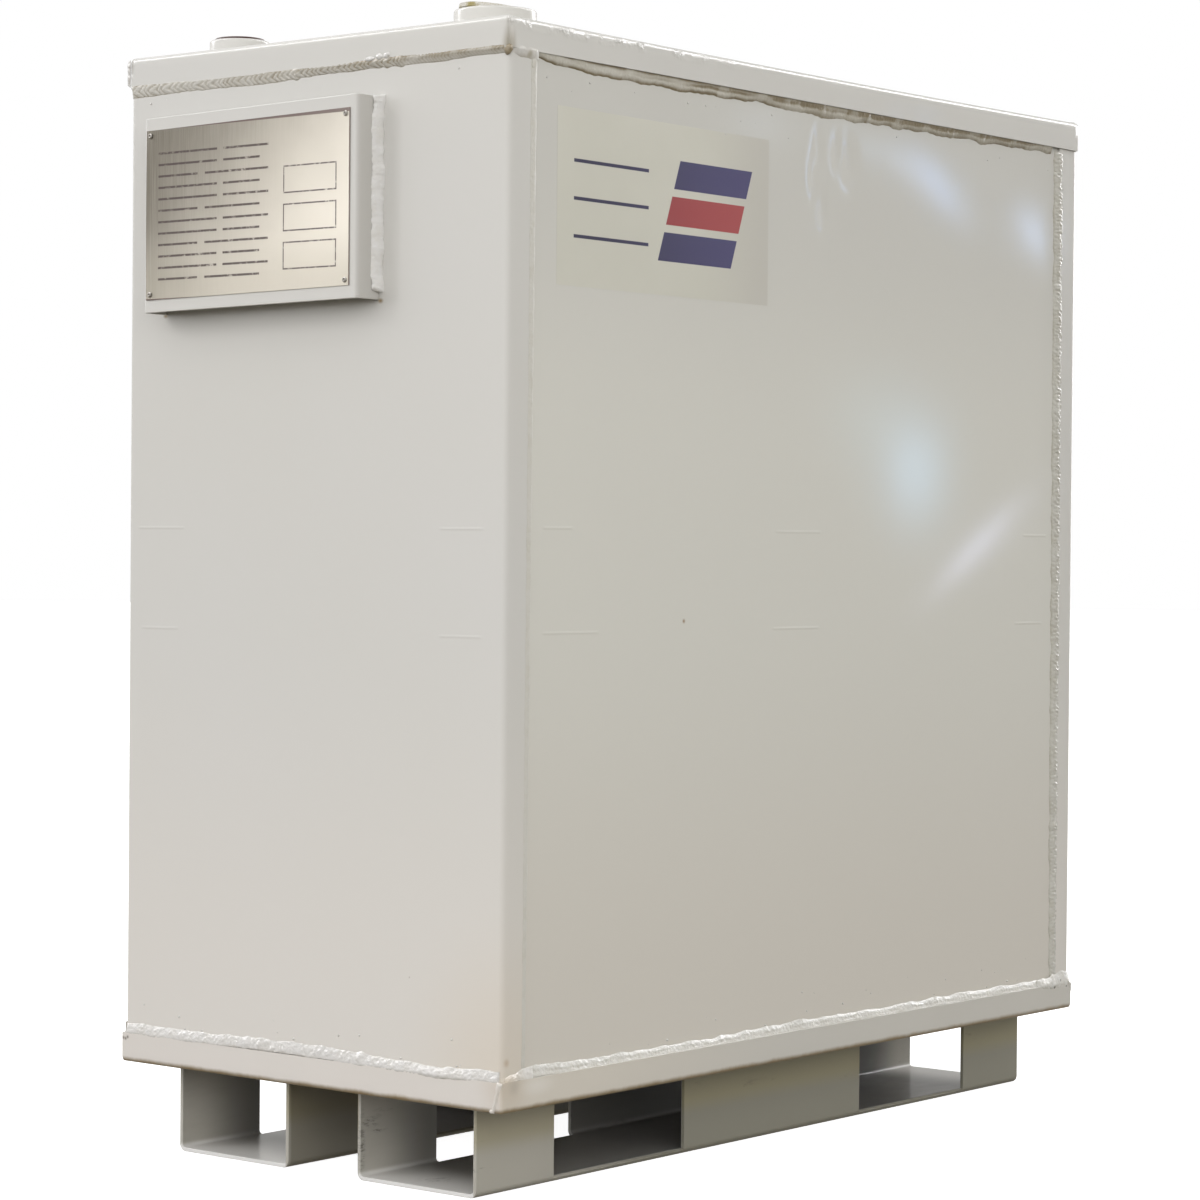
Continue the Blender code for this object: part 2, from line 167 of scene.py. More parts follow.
def rounded_path(corners, radius, step, closed=False, arc_steps=7):
    """Points, outward normals and lengths along a path with rounded corners; outside is to its right."""
    corners = [np.array(corner, float) for corner in corners]
    count = len(corners)
    points, normals = [], []
    for i in range(count if closed else count - 1):
        here, ahead = corners[i], corners[(i + 1) % count]
        way = (ahead - here) / np.linalg.norm(ahead - here)
        normal = np.array([way[1], -way[0]])
        start = here + way * radius if closed or i > 0 else here
        bends = closed or i < count - 2
        end = ahead - way * radius if bends else ahead
        for part in steps_between(0, 1, step / np.linalg.norm(end - start)):
            points.append(start + (end - start) * part)
            normals.append(normal)
        if not bends:
            continue
        after = corners[(i + 2) % count] - ahead
        turn_way = after / np.linalg.norm(after)
        turn = math.atan2(way[0] * turn_way[1] - way[1] * turn_way[0], way @ turn_way)
        centre = end - normal * radius
        for k in range(1, arc_steps):
            c, s = math.cos(turn * k / arc_steps), math.sin(turn * k / arc_steps)
            spun = np.array([c * normal[0] - s * normal[1], s * normal[0] + c * normal[1]])
            points.append(centre + spun * radius)
            normals.append(spun)
    points, normals = np.array(points), np.array(normals)
    gaps = np.linalg.norm(np.diff(points, axis=0), axis=1)
    return points, normals, np.concatenate([[0.0], np.cumsum(gaps)])


def grid_mesh(name, grid, wrap_u=False, wrap_v=False, keep=None, flip=False, caps=False):
    """A mesh over a grid of points (u, v, xyz); keep says which cells have a face."""
    nu, nv = grid.shape[:2]
    rows = np.arange(nu if wrap_u else nu - 1)
    columns = np.arange(nv if wrap_v else nv - 1)
    i, j = np.meshgrid(rows, columns, indexing="ij")
    i2, j2 = (i + 1) % nu, (j + 1) % nv
    faces = np.stack([i * nv + j, i2 * nv + j, i2 * nv + j2, i * nv + j2], axis=-1)
    if keep is not None:
        faces = faces[keep]
    faces = faces.reshape(-1, 4)
    if flip:
        faces = faces[:, ::-1]
    faces = faces.tolist()
    if caps:
        faces.append(list(range(nv))[::-1])
        faces.append([(nu - 1) * nv + k for k in range(nv)])
    mesh = bpy.data.meshes.new(name)
    mesh.from_pydata(grid.reshape(-1, 3).tolist(), [], faces)
    mesh.update()
    return mesh


@contextmanager
def editing(mesh, filled=True):
    """Opens a mesh for editing and writes it back."""
    bm = bmesh.new()
    if filled:
        bm.from_mesh(mesh)
    yield bm
    bm.to_mesh(mesh)
    bm.free()


def tidy_normals(mesh, merge=0.0):
    """Turns the faces outward, after joining points closer than merge."""
    with editing(mesh) as bm:
        if merge:
            bmesh.ops.remove_doubles(bm, verts=bm.verts, dist=merge)
        bmesh.ops.recalc_face_normals(bm, faces=bm.faces)


def mark_grime_and_shade(mesh, values):
    """Stores at each point how dark the weld paint is there: grime and painted shade."""
    mark = mesh.attributes.new("toe", "FLOAT", "POINT")
    mark.data.foreach_set("value", values.reshape(-1).astype(np.float32))


def piece(name, mesh, material, node=None, angle=35.0):
    """Adds a shown piece that rides on the body and, if a node is named, stands for it."""
    made = bpy.data.objects.new(name, mesh)
    bpy.context.scene.collection.objects.link(made)
    mesh.materials.clear()
    mesh.materials.append(material)
    mesh.shade_smooth()
    mesh.set_sharp_from_angle(angle=math.radians(angle))
    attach(made, "root")
    if node:
        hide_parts(node)
    return made


def solidify(made, thickness):
    modifier = made.modifiers.new("thickness", "SOLIDIFY")
    modifier.thickness = thickness
    modifier.offset = -1.0
    modifier.use_even_offset = True
    modifier.use_quality_normals = True


def soften_edges(made, width, segments=2):
    modifier = made.modifiers.new("soft_edges", "BEVEL")
    modifier.width = width
    modifier.segments = segments
    modifier.limit_method = "ANGLE"
    modifier.angle_limit = math.radians(50)
    modifier.harden_normals = True


def half_turn():
    """The matrix that turns front pieces to the rear and right pieces to the left."""
    middle = Matrix.Translation((0.0, CENTRE_Y, 0.0))
    return middle @ Matrix.Rotation(math.pi, 4, "Z") @ middle.inverted()


class Value:
    """A shader output that can be reckoned with like a number."""

    def __init__(self, nodes, socket):
        self.nodes, self.socket = nodes, socket

    def __add__(self, other):
        return self.nodes.maths("ADD", self, other)

    def __sub__(self, other):
        return self.nodes.maths("SUBTRACT", self, other)

    def __rsub__(self, other):
        return self.nodes.maths("SUBTRACT", other, self)

    def __mul__(self, other):
        return self.nodes.maths("MULTIPLY", self, other)

    def __abs__(self):
        return self.nodes.maths("ABSOLUTE", self)

    def fade(self, low, high, form="SMOOTHSTEP"):
        """0 at low, 1 at high, smooth between; low may be the larger."""
        made = self.nodes.add("ShaderNodeMapRange", {"Value": self, "From Min": low, "From Max": high},
                              interpolation_type=form)
        return Value(self.nodes, made.outputs["Result"])


class Nodes:
    """A shader tree in the making; where is the place or the direction being shaded."""

    def __init__(self, tree, place):
        self.tree = tree
        self.where = Value(self, self.add("ShaderNodeTexCoord").outputs[place])

    def add(self, kind, sockets=None, **settings):
        made = self.tree.nodes.new(kind)
        for key, value in settings.items():
            setattr(made, key, value)
        for key, value in (sockets or {}).items():
            self.put(made.inputs[key], value)
        return made

    def put(self, socket, value):
        """Gives a socket a number, a colour or another node's output."""
        if isinstance(value, Value):
            self.tree.links.new(value.socket, socket)
        elif socket.type == "RGBA":
            socket.default_value = (*value, 1.0)
        else:
            socket.default_value = value

    def maths(self, operation, first, second=0.0, clamp=False):
        made = self.add("ShaderNodeMath", {0: first, 1: second}, operation=operation, use_clamp=clamp)
        return Value(self, made.outputs[0])

    def largest(self, values):
        total = values[0]
        for value in values[1:]:
            total = self.maths("MAXIMUM", total, value)
        return total

    def vector_maths(self, operation, first, second=(0.0, 0.0, 0.0), output="Vector"):
        made = self.add("ShaderNodeVectorMath", {0: first, 1: second}, operation=operation)
        return Value(self, made.outputs[output])

    def axis(self, number, vector=None):
        made = self.add("ShaderNodeSeparateXYZ", {0: vector or self.where})
        return Value(self, made.outputs[number])

    def along(self, way):
        """How far the shaded direction points along another."""
        return self.vector_maths("DOT_PRODUCT", self.where, tuple(way), "Value")

    def noise(self, scale, detail=4.0, roughness=0.55, stretch=None):
        vector = self.where
        if stretch:
            mapped = self.add("ShaderNodeMapping", {"Vector": vector, "Scale": stretch})
            vector = Value(self, mapped.outputs[0])
        made = self.add("ShaderNodeTexNoise",
                        {"Vector": vector, "Scale": scale, "Detail": detail, "Roughness": roughness})
        return Value(self, made.outputs["Fac"])

    def cells(self, scale):
        """Distance from the middle of random cells, and a random number for each cell."""
        made = self.add("ShaderNodeTexVoronoi", {"Vector": self.where, "Scale": scale})
        return Value(self, made.outputs["Distance"]), self.axis(0, Value(self, made.outputs["Color"]))

    def mix(self, amount, first, second):
        made = self.tree.nodes.new("ShaderNodeMix")
        made.data_type = "RGBA"
        for number, value in ((0, amount), (6, first), (7, second)):
            self.put(made.inputs[number], value)
        return Value(self, made.outputs[2])

    def bump(self, height, distance, normal=None):
        sockets = {"Height": height, "Distance": distance, "Strength": 1.0}
        if normal:
            sockets["Normal"] = normal
        return Value(self, self.add("ShaderNodeBump", sockets).outputs[0])

    def distance(self, point, squeeze=(1.0, 1.0, 1.0)):
        away = self.vector_maths("SUBTRACT", self.where, point)
        return self.vector_maths("LENGTH", self.vector_maths("MULTIPLY", away, squeeze), output="Value")

    def near(self, point, radius, squeeze=(1.0, 1.0, 1.0)):
        """1 at the point, fading to 0 at the radius, in millimetres."""
        return self.distance(point, squeeze).fade(radius * MM, 0.0)


class Paint(Nodes):
    """A material in the making, with its colour so far."""

    def __init__(self, name, colour):
        self.material = bpy.data.materials.new(name)
        self.material.use_nodes = True
        super().__init__(self.material.node_tree, "Object")
        self.shader = self.tree.nodes["Principled BSDF"]
        self.colour = colour

    def set(self, socket, value):
        self.put(self.shader.inputs[socket], value)

    def tint(self, amount, colour):
        self.colour = self.mix(amount, self.colour, colour)

    def spot(self, point, radius, strength, colour, squeeze=(1.0, 1.0, 1.0)):
        self.tint(self.near(point, radius, squeeze) * strength, colour)

    def follow(self, skin):
        """Makes the surface and its gloss follow a fine relief."""
        self.skin = skin
        self.set("Normal", skin)
        self.set("Coat Normal", skin)

    def gloss(self, skin, weight=0.8, roughness=0.045):
        self.set("Coat Weight", weight)
        self.set("Coat Roughness", roughness)
        self.follow(skin)

    def finish(self):
        self.set("Base Color", self.colour)
        return self.material


def toned(colour, factors):
    return tuple(c * k for c, k in zip(colour, factors))


def sheet_paint(name, colour=WHITE, rough=0.30, peel=1.0):
    """Gloss paint on sheet: faint cloudiness, orange peel and a few specks."""
    paint = Paint(name, colour)
    paint.tint(paint.noise(2.2, 2.0, 0.5), toned(colour, (0.975, 0.97, 0.93)))
    away, pick = paint.cells(55.0)
    paint.tint(away.fade(0.075, 0.04) * pick.fade(0.988, 0.995) * 0.75, (0.16, 0.12, 0.08))
    paint.set("Roughness", paint.noise(9.0, 5.0, 0.6).fade(0.3, 0.75, "LINEAR") * 0.10 + (rough - 0.01))
    paint.gloss(paint.bump(paint.noise(330.0, 1.0, 0.5), 0.006 * MM * peel))
    return paint


def stitches(paint, marks, axis):
    """Short raised lines where welds on the inside print through; marks are (start, end, height)."""
    along = paint.axis(axis)
    up = paint.axis(2)
    ridges = []
    for start, end, height in marks:
        run = along.fade(start - 4 * MM, start + 4 * MM) * along.fade(end + 4 * MM, end - 4 * MM)
        ridges.append(run * abs(up - height).fade(2.6 * MM, 0.0))
    return paint.bump(paint.largest(ridges), 0.30 * MM, paint.skin)


def wall_material(name, marks=(), axis=0, specks=()):
    paint = sheet_paint(name)
    up = paint.axis(2)
    # Warmer toward the foot: painted warm light thrown back from the floor.
    warm = up.fade(PAN_EDGE + 0.55, PAN_EDGE) * 0.6
    if axis == 1:
        # The long sides take a lighter copy of the wall paint, darker toward the top: painted light and
        # shade.
        paint.tint(0.85, (0.700, 0.690, 0.615))
        paint.tint(up.fade(PAN_FOOT + 0.75, PAN_FOOT + 1.1), (0.625, 0.615, 0.56))
        paint.tint(warm, (0.652, 0.600, 0.522))
    else:
        paint.tint(warm, (0.755, 0.71, 0.64))
        # A broad warm patch round the near bottom corner: painted warm light from the floor.
        paint.spot(offset(BODY_CORNER_FOOT, 0, 10, 0), 170, 0.6, (0.69, 0.61, 0.49), (1.0, 1.0, 0.8))
        paint.spot(offset(BODY_CORNER_FOOT, 0, 9, 21), 7, 0.5, (0.45, 0.30, 0.16))
        right_stain = (BRACKET_HIGH[0] + 2 * MM, FRONT_Y, BRACKET_LOW[2] + 3 * MM)
        left_stain = (BRACKET_LOW[0], FRONT_Y, BRACKET_LOW[2] - 2 * MM)
        for darkening in (right_stain, left_stain):
            paint.spot(darkening, 6, 0.9, (0.27, 0.17, 0.05), (1.0, 1.0, 1.4))
    for point, radius in specks:
        paint.spot(point, radius, 1.0, BROWN)
    if marks:
        paint.gloss(stitches(paint, marks, axis))
    return paint.finish()


def pan_material():
    """Bottom pan: painted warm light, with its long sides tinted apart as painted light and shade; a ragged
    brown band creeps up from its lower bend, part grime and part painted shade.
    """
    paint = sheet_paint("bottom_pan_paint")
    # Painted warm light near the floor; the long sides painted warm near the front and greyer farther back,
    # painted light and shade.
    paint.tint(0.75, (0.735, 0.685, 0.62))
    long_side = abs(paint.axis(0)).fade(HALF_WIDTH - 4 * MM, HALF_WIDTH - 1 * MM)
    farther = paint.axis(1).fade(NEAR_Y, NEAR_Y + 0.6)
    paint.tint(long_side, paint.mix(farther, (0.69, 0.642, 0.55), (0.60, 0.58, 0.52)))
    paint.spot(offset(PAN_CORNER, 0, 14, -6), 46, 0.55, (0.56, 0.47, 0.36))
    # A grey spot beside the near corner: painted shade of a shallow dimple.
    paint.spot(offset(PAN_CORNER, 0, 22, -6), 14, 0.5, (0.44, 0.40, 0.33))
    paint.spot(offset(PAN_CORNER, 0, 62, -9), 24, 0.6, (0.80, 0.77, 0.70), (1.0, 0.6, 1.6))
    nicks = [paint.near(offset((LEFT_X, NEAR_Y, PAN_EDGE), x, 0, z), 3.2)
             for x, z in ((4.5, -6.5), (8.0, -7.0), (11.5, -5.0))]
    paint.tint(paint.largest(nicks) * 0.9, (0.14, 0.11, 0.075))
    # A ragged brown band along the lower bend: part grime, part painted shade.
    ragged = paint.noise(38.0, 5.0, 0.65, (1, 1, 0.4)) * (6 * MM)
    line = (paint.axis(2) - ragged).fade(PAN_FOOT + 5.0 * MM, PAN_FOOT - 2.5 * MM)
    paint.tint(line * 0.95, (0.27, 0.19, 0.085))
    return paint.finish()


def lid_material():
    """Lid: as the walls, with rough runs and spatter along the upper right edge, and a flat top with less
    gloss. Painted shade darkens the flat top and browns the foot of the hollow near corner.
    """
    paint = sheet_paint("top_pan_paint")
    x, y, up = (paint.axis(k) for k in range(3))
    right = x.fade(HALF_WIDTH - 9 * MM, HALF_WIDTH - 2 * MM)
    high = up.fade(LID_TOP - 16 * MM, LID_TOP - 4 * MM)
    near = y.fade(NEAR_Y + 0.62, NEAR_Y + 0.20)
    patchy = paint.noise(30.0, 3.0, 0.5).fade(0.42, 0.6)
    lumps = paint.noise(260.0, 3.0, 0.6) * (right * high * (near * patchy))
    groove = paint.near(offset((HALF_WIDTH, NEAR_Y, LID_EDGE), -2, 2, -2), 13, (1.0, 1.0, 0.36))
    flat_top = (abs(x).fade(HALF_WIDTH - 10 * MM, HALF_WIDTH - 30 * MM)
                * abs(y - CENTRE_Y).fade(HALF_LENGTH - 10 * MM, HALF_LENGTH - 30 * MM))
    # Painted shade: the flat top darkened.
    paint.tint(flat_top * 0.9, (0.46, 0.455, 0.43))
    # Painted shade: brown in the foot of the hollow near corner.
    paint.tint(groove * 0.9, (0.30, 0.26, 0.18))
    paint.gloss(paint.bump(lumps, 2.6 * MM, paint.skin))
    flange = right * up.fade(LID_TOP - 7 * MM, LID_TOP - 11 * MM)
    dull = paint.largest([groove * 0.8, flat_top * 0.5, flange * 0.65])
    paint.set("Coat Weight", paint.maths("SUBTRACT", 0.8, dull, clamp=True))
    return paint.finish()


def weld_paint(name, colour=WHITE, toe=0.8, relief=1.0, coat=0.9, evenness=0.35):
    """Painted weld bead: granular, darkened where the mesh marks it, with grime and painted shade along its
    toes and painted shade on its face, in its creases and between its ripples.
    """
    paint = Paint(name, colour)
    mark = Value(paint, paint.add("ShaderNodeAttribute", attribute_name="toe").outputs["Fac"])
    patchy = paint.maths("ADD", paint.noise(26.0, 4.0, 0.6).fade(0.40, 0.62), evenness, clamp=True)
    paint.tint(paint.noise(70.0, 4.0, 0.6).fade(0.35, 0.75), toned(colour, (0.94, 0.93, 0.90)))
    # Where the mesh marks it: grime and painted shade.
    paint.tint(mark * patchy * toe, (0.235, 0.188, 0.105))
    paint.set("Roughness", paint.noise(150.0, 3.0) * 0.15 + 0.29)
    skin = paint.bump(paint.noise(700.0, 2.0, 0.6), 0.14 * MM * relief)
    paint.gloss(paint.bump(paint.noise(260.0, 3.0, 0.6), 0.75 * MM * relief, skin), coat, 0.12)
    return paint


def tinted(paint, *spots):
    """Colours a paint near given points: (point, radius, strength, colour, squeeze)."""
    for spot in spots:
        paint.spot(*spot)
    return paint


def pitted(paint, point, radius):
    """Small dark holes in a weld near a point."""
    away, pick = paint.cells(150.0)
    hole = away.fade(0.34, 0.16) * pick.fade(0.62, 0.70) * paint.near(point, radius).fade(0.0, 0.35)
    # Dark in the holes: painted shade.
    paint.tint(hole * 0.85, (0.10, 0.085, 0.055))
    paint.follow(paint.bump(1.0 - hole, 1.0 * MM, paint.skin))
    return paint


def rusty(paint, point, radius):
    """A ragged spot of rust."""
    ragged = paint.noise(320.0, 4.0, 0.65).fade(0.45, 0.62)
    paint.tint((paint.near(point, radius) + ragged * 0.35).fade(0.55, 0.95) * 0.9, RUST)
    return paint


def skid_material():
    """Skid channels: thin paint in grey streaks inside, scuffs and grime. Their insides are painted light
    near the mouths and painted shade deeper in, and their outer faces painted shade farther back, under the
    pan and between the skids.
    """
    paint = sheet_paint("skid_channel_paint", (0.60, 0.59, 0.555), 0.36, 1.6)
    side, along, up = (paint.axis(k) for k in range(3))
    away = abs(side)
    middle = (SKID_LOW[0] + SKID_HIGH[0]) / 2
    half = (SKID_HIGH[0] - SKID_LOW[0]) / 2
    outside = abs(away - middle).fade(half - 2.5 * MM, half - 0.5 * MM)
    inside = 1.0 - outside
    wall_inside = inside * up.fade(5.0 * MM, 12 * MM)
    # The insides are painted lighter, painted light that stays on the floor near the mouths; the inside walls
    # are then painted darker, painted shade.
    paint.tint(inside, (0.81, 0.80, 0.76))
    paint.tint(wall_inside * 0.85, (0.43, 0.41, 0.35))
    # Grey streaks on the inside walls: thin paint, with painted shade in how strong they are on each skid.
    thin = wall_inside * paint.noise(14.0, 5.0, 0.6, (1, 0.25, 1)).fade(0.3, 0.7)
    paint.tint(thin * (0.40 - side.fade(-10 * MM, 10 * MM) * 0.22), (0.17, 0.165, 0.14))
    # Painted shade deep inside the channels, darker still on the rear floor.
    deep_shade = inside * abs(along - CENTRE_Y).fade(HALF_LENGTH - 0.06, HALF_LENGTH - 0.16)
    paint.tint(deep_shade * 0.8, (0.13, 0.127, 0.115))
    rear_floor_shade = deep_shade * along.fade(CENTRE_Y + 0.1, CENTRE_Y + 0.2)
    streaky = paint.noise(9.0, 4.0, 0.6, (1, 0.3, 1)).fade(0.35, 0.65)
    paint.tint(rear_floor_shade * (streaky * 0.35 + 0.55), (0.055, 0.053, 0.047))
    # Painted shade on the outer faces: darker farther back, under the pan's overhang, and on the faces
    # between the skids.
    farther = along.fade(NEAR_Y + 0.12, NEAR_Y + 0.40)
    paint.tint(outside * 0.9, paint.mix(farther, (0.43, 0.41, 0.345), (0.225, 0.215, 0.160)))
    upper = up.fade(SKID_HIGH[2] - 62 * MM, SKID_HIGH[2] - 38 * MM) * outside
    paint.tint(upper * 0.45, (0.36, 0.31, 0.14))
    behind_mouth = along.fade(SKID_LOW[1] + 2 * MM, SKID_LOW[1] + 6 * MM)
    between_skids_shade = outside * away.fade(middle, middle - 20 * MM) * behind_mouth
    paint.tint(between_skids_shade * 0.55, (0.16, 0.14, 0.09))
    scuff = paint.noise(24.0, 7.0, 0.7, (1, 0.5, 2.0)).fade(0.60, 0.72)
    scuff = scuff * paint.noise(5.0, 2.0, 0.5).fade(0.5, 0.7)
    paint.tint(scuff * 0.6, GRIME)
    mouth = (SKID_LOW[0] + 3 * MM, SKID_LOW[1], 0.0)
    smudge = paint.largest([
        paint.near(offset(mouth, 0, 16, 66), 26, (1.0, 1.0, 2.6)),
        paint.near(offset(mouth, 0, 30, 56), 22, (1.0, 1.0, 3.2)),
        paint.near(offset(mouth, 0, 3, 40), 60, (1.0, 8.0, 1.0)),
    ])
    smudge = smudge * paint.noise(150.0, 6.0, 0.75, (1, 0.5, 2.4)).fade(0.46, 0.62)
    paint.tint(smudge * 0.75, (0.06, 0.055, 0.04))
    paint.gloss(paint.skin, 0.25, 0.16)
    return paint.finish()


def bracket_material():
    paint = sheet_paint("bracket_paint")
    middle = (BRACKET_LOW[0] + BRACKET_HIGH[0]) / 2
    half = (BRACKET_HIGH[0] - BRACKET_LOW[0]) / 2
    leg_shade = abs(paint.axis(0) - middle).fade(half - 5 * MM, half - 1 * MM)
    # The legs beside the wall are painted darker: painted shade.
    paint.tint(leg_shade, (0.565, 0.55, 0.51))
    return paint.finish()


def rect_mask(u, v, low, high, soft=0.3 * MM):
    """1 inside a rectangle of the two coordinates."""
    inside = u.fade(low[0] - soft, low[0] + soft) * u.fade(high[0] + soft, high[0] - soft)
    return inside * v.fade(low[1] - soft, low[1] + soft) * v.fade(high[1] + soft, high[1] - soft)


def frame_mask(u, v, low, high, line):
    inner = rect_mask(u, v, (low[0] + line, low[1] + line), (high[0] - line, high[1] - line))
    return u.nodes.maths("SUBTRACT", rect_mask(u, v, low, high), inner, clamp=True)


def nameplate_material():
    """Brushed metal with a printed blank form: ruled lines and empty boxes, no words."""
    wide, high = PLATE_HIGH[0] - PLATE_LOW[0], PLATE_HIGH[2] - PLATE_LOW[2]
    paint = Paint("nameplate_metal", (0.185, 0.168, 0.137))
    u, v = paint.axis(0) - PLATE_LOW[0], paint.axis(2) - PLATE_LOW[2]
    brushed = paint.noise(900.0, 4.0, 0.7, (1.0, 1.0, 0.012))
    across = u * (1.0 / wide) + v * (-0.6 / high)
    # Painted light: the metal brightens toward its lower right.
    light = (across + paint.noise(11.0, 3.0, 0.5) * 0.25).fade(-0.42, 1.0)
    paint.tint(light, (0.88, 0.83, 0.74))
    # Painted shade along the lower band.
    paint.tint(v.fade(90 * MM, 0.0) * 0.45, (0.43, 0.40, 0.33))
    paint.tint(brushed.fade(0.3, 0.75) * 0.16, (0.80, 0.76, 0.69))
    ink = []
    for k in range(12):
        foot = (22 + 13.6 * k) * MM
        top = foot + 2.6 * MM
        ink.append(rect_mask(u, v, (20 * MM, foot), ((118 if k % 3 else 86) * MM, top)))
        ink.append(rect_mask(u, v, ((128 if k % 3 else 98) * MM, foot), ((188 + 14 * (k % 2)) * MM, top)))
    for k in range(3):
        foot = (26 + 44 * k) * MM
        ink.append(frame_mask(u, v, (226 * MM, foot), (wide - 20 * MM, foot + 32 * MM), 1.6 * MM))
    printed = paint.largest(ink) * paint.noise(140.0, 4.0, 0.6).fade(0.25, 0.5)
    edge = 1.0 - rect_mask(u, v, (0.5 * MM, 0.5 * MM), (wide - 0.9 * MM, high - 0.5 * MM))
    paint.tint(printed * 0.88, (0.055, 0.03, 0.03))
    # Painted shadow of the gap behind the plate: a dark maroon line round its edge.
    paint.tint(edge * 0.75, (0.09, 0.035, 0.03))
    paint.set("Metallic", 1.0 - paint.largest([printed, edge]) * 0.9)
    paint.set("Roughness", brushed * 0.22 + 0.36)
    paint.set("Normal", paint.bump(brushed, 0.05 * MM))
    return paint.finish()


# Corners of the label on the right side: (y, z)
LABEL_LOW = (NEAR_Y + 0.092, PAN_FOOT + 0.928)
LABEL_HIGH = (NEAR_Y + 0.497, PAN_FOOT + 1.130)


def label_material():
    """Label: cream film with a plain design of navy and red bands."""
    paint = Paint("label_film", (0.65, 0.64, 0.55))
    u, v = paint.axis(1) - LABEL_LOW[0], paint.axis(2) - LABEL_LOW[1]
    paint.tint(paint.noise(6.0, 3.0, 0.5).fade(0.3, 0.7), (0.625, 0.615, 0.525))
    # Painted shade: the film darkens toward its right end.
    paint.tint(u.fade(0.25, 0.42) * 0.8, (0.545, 0.525, 0.47))
    sheen = u.fade(0.05, 0.36)
    navy = paint.mix(sheen, (0.016, 0.013, 0.060), (0.050, 0.042, 0.150))
    red = paint.mix(sheen, (0.26, 0.016, 0.028), (0.40, 0.05, 0.055))
    lean = u - v * 0.35
    for foot, ink in ((40 * MM, navy), (83 * MM, red), (126 * MM, navy)):
        paint.tint(rect_mask(lean, v, (0.172, foot), (0.315, foot + 34 * MM)) * 0.97, ink)
        paint.tint(rect_mask(u, v, (30 * MM, foot + 15 * MM), (0.168, foot + 19 * MM)) * 0.97, navy)
    paint.set("Roughness", 0.34)
    paint.set("Normal", paint.bump(paint.noise(35.0, 3.0, 0.5), 0.10 * MM))
    return paint.finish()


def plastic_material(name, colour, overspray):
    """Moulded plastic dusted with white overspray."""
    paint = Paint(name, colour)
    paint.tint(paint.noise(40.0, 3.0, 0.5), toned(colour, (0.8, 0.8, 0.8)))
    dust = paint.noise(26.0, 6.0, 0.7).fade(overspray, overspray + 0.16)
    fine = paint.noise(600.0, 2.0, 0.5).fade(0.35, 0.6)
    paint.tint(dust * (fine * 0.4 + 0.5), WHITE)
    paint.set("Roughness", dust * 0.15 + 0.38)
    paint.set("Normal", paint.bump(paint.noise(300.0, 3.0, 0.5), 0.12 * MM))
    return paint.finish()


def rivet_material():
    paint = Paint("rivet_metal", (0.62, 0.60, 0.56))
    tone = paint.noise(500.0, 3.0, 0.6)
    paint.tint(tone, (0.28, 0.26, 0.24))
    paint.set("Roughness", tone * 0.2 + 0.30)
    paint.set("Normal", paint.bump(tone, 0.08 * MM))
    paint.set("Metallic", 1.0)
    return paint.finish()


# Marks where inner welds print through: (from, to, height above the pan's underside), in millimetres
SIDE_MARKS = ((73, 125, 653), (520, 614, 653), (1092, 1149, 653),
              (74, 173, 534), (516, 612, 534), (1073, 1140, 534))
END_MARKS = ((23, 99, 651), (510, 573, 651), (29, 90, 530), (511, 571, 530))

# Shallow dents in the label side: (y, z, half length along y, half height, depth), in millimetres
SIDE_DENTS = (
    (602, 1128, 8, 24, 0.8),
    (590, 1096, 6, 26, 0.7),
    (640, 1128, 6, 18, 0.8),
    (612, 1052, 7, 22, 0.8),
    (668, 1118, 12, 26, 0.8),
)


def wall_relief(seed, dents=()):
    """Height of the sheet's gentle waves and dents at (distance from its start, height above the pan)."""
    slow = smooth_field(seed, 0.40, 1.0)
    quick = smooth_field(seed + 1, 0.10, 0.25)

    def relief(along, up):
        total = 0.20 * MM * slow(along, up) + 0.008 * MM * quick(along, up)
        for y, z, half_y, half_z, depth in dents:
            away = ((along / MM - y) / half_y) ** 2 + ((up / MM - z) / half_z) ** 2
            total = total - depth * MM * np.exp(-away)
        return total

    return relief


def fade_edges(along, up, length, height, margin=0.03):
    """0 at the sheet's edges and 1 a margin inside them."""
    a = smoothstep(0, margin, along) * smoothstep(0, margin, length - along)
    b = smoothstep(0, margin, up) * smoothstep(0, margin, height - up)
    return a * b


def add_sheet(name, grid, turned, material):
    mesh = grid_mesh(name, grid)
    if turned:
        mesh.transform(half_turn())
    solidify(piece(name + "_skin", mesh, material, name), SHEET)


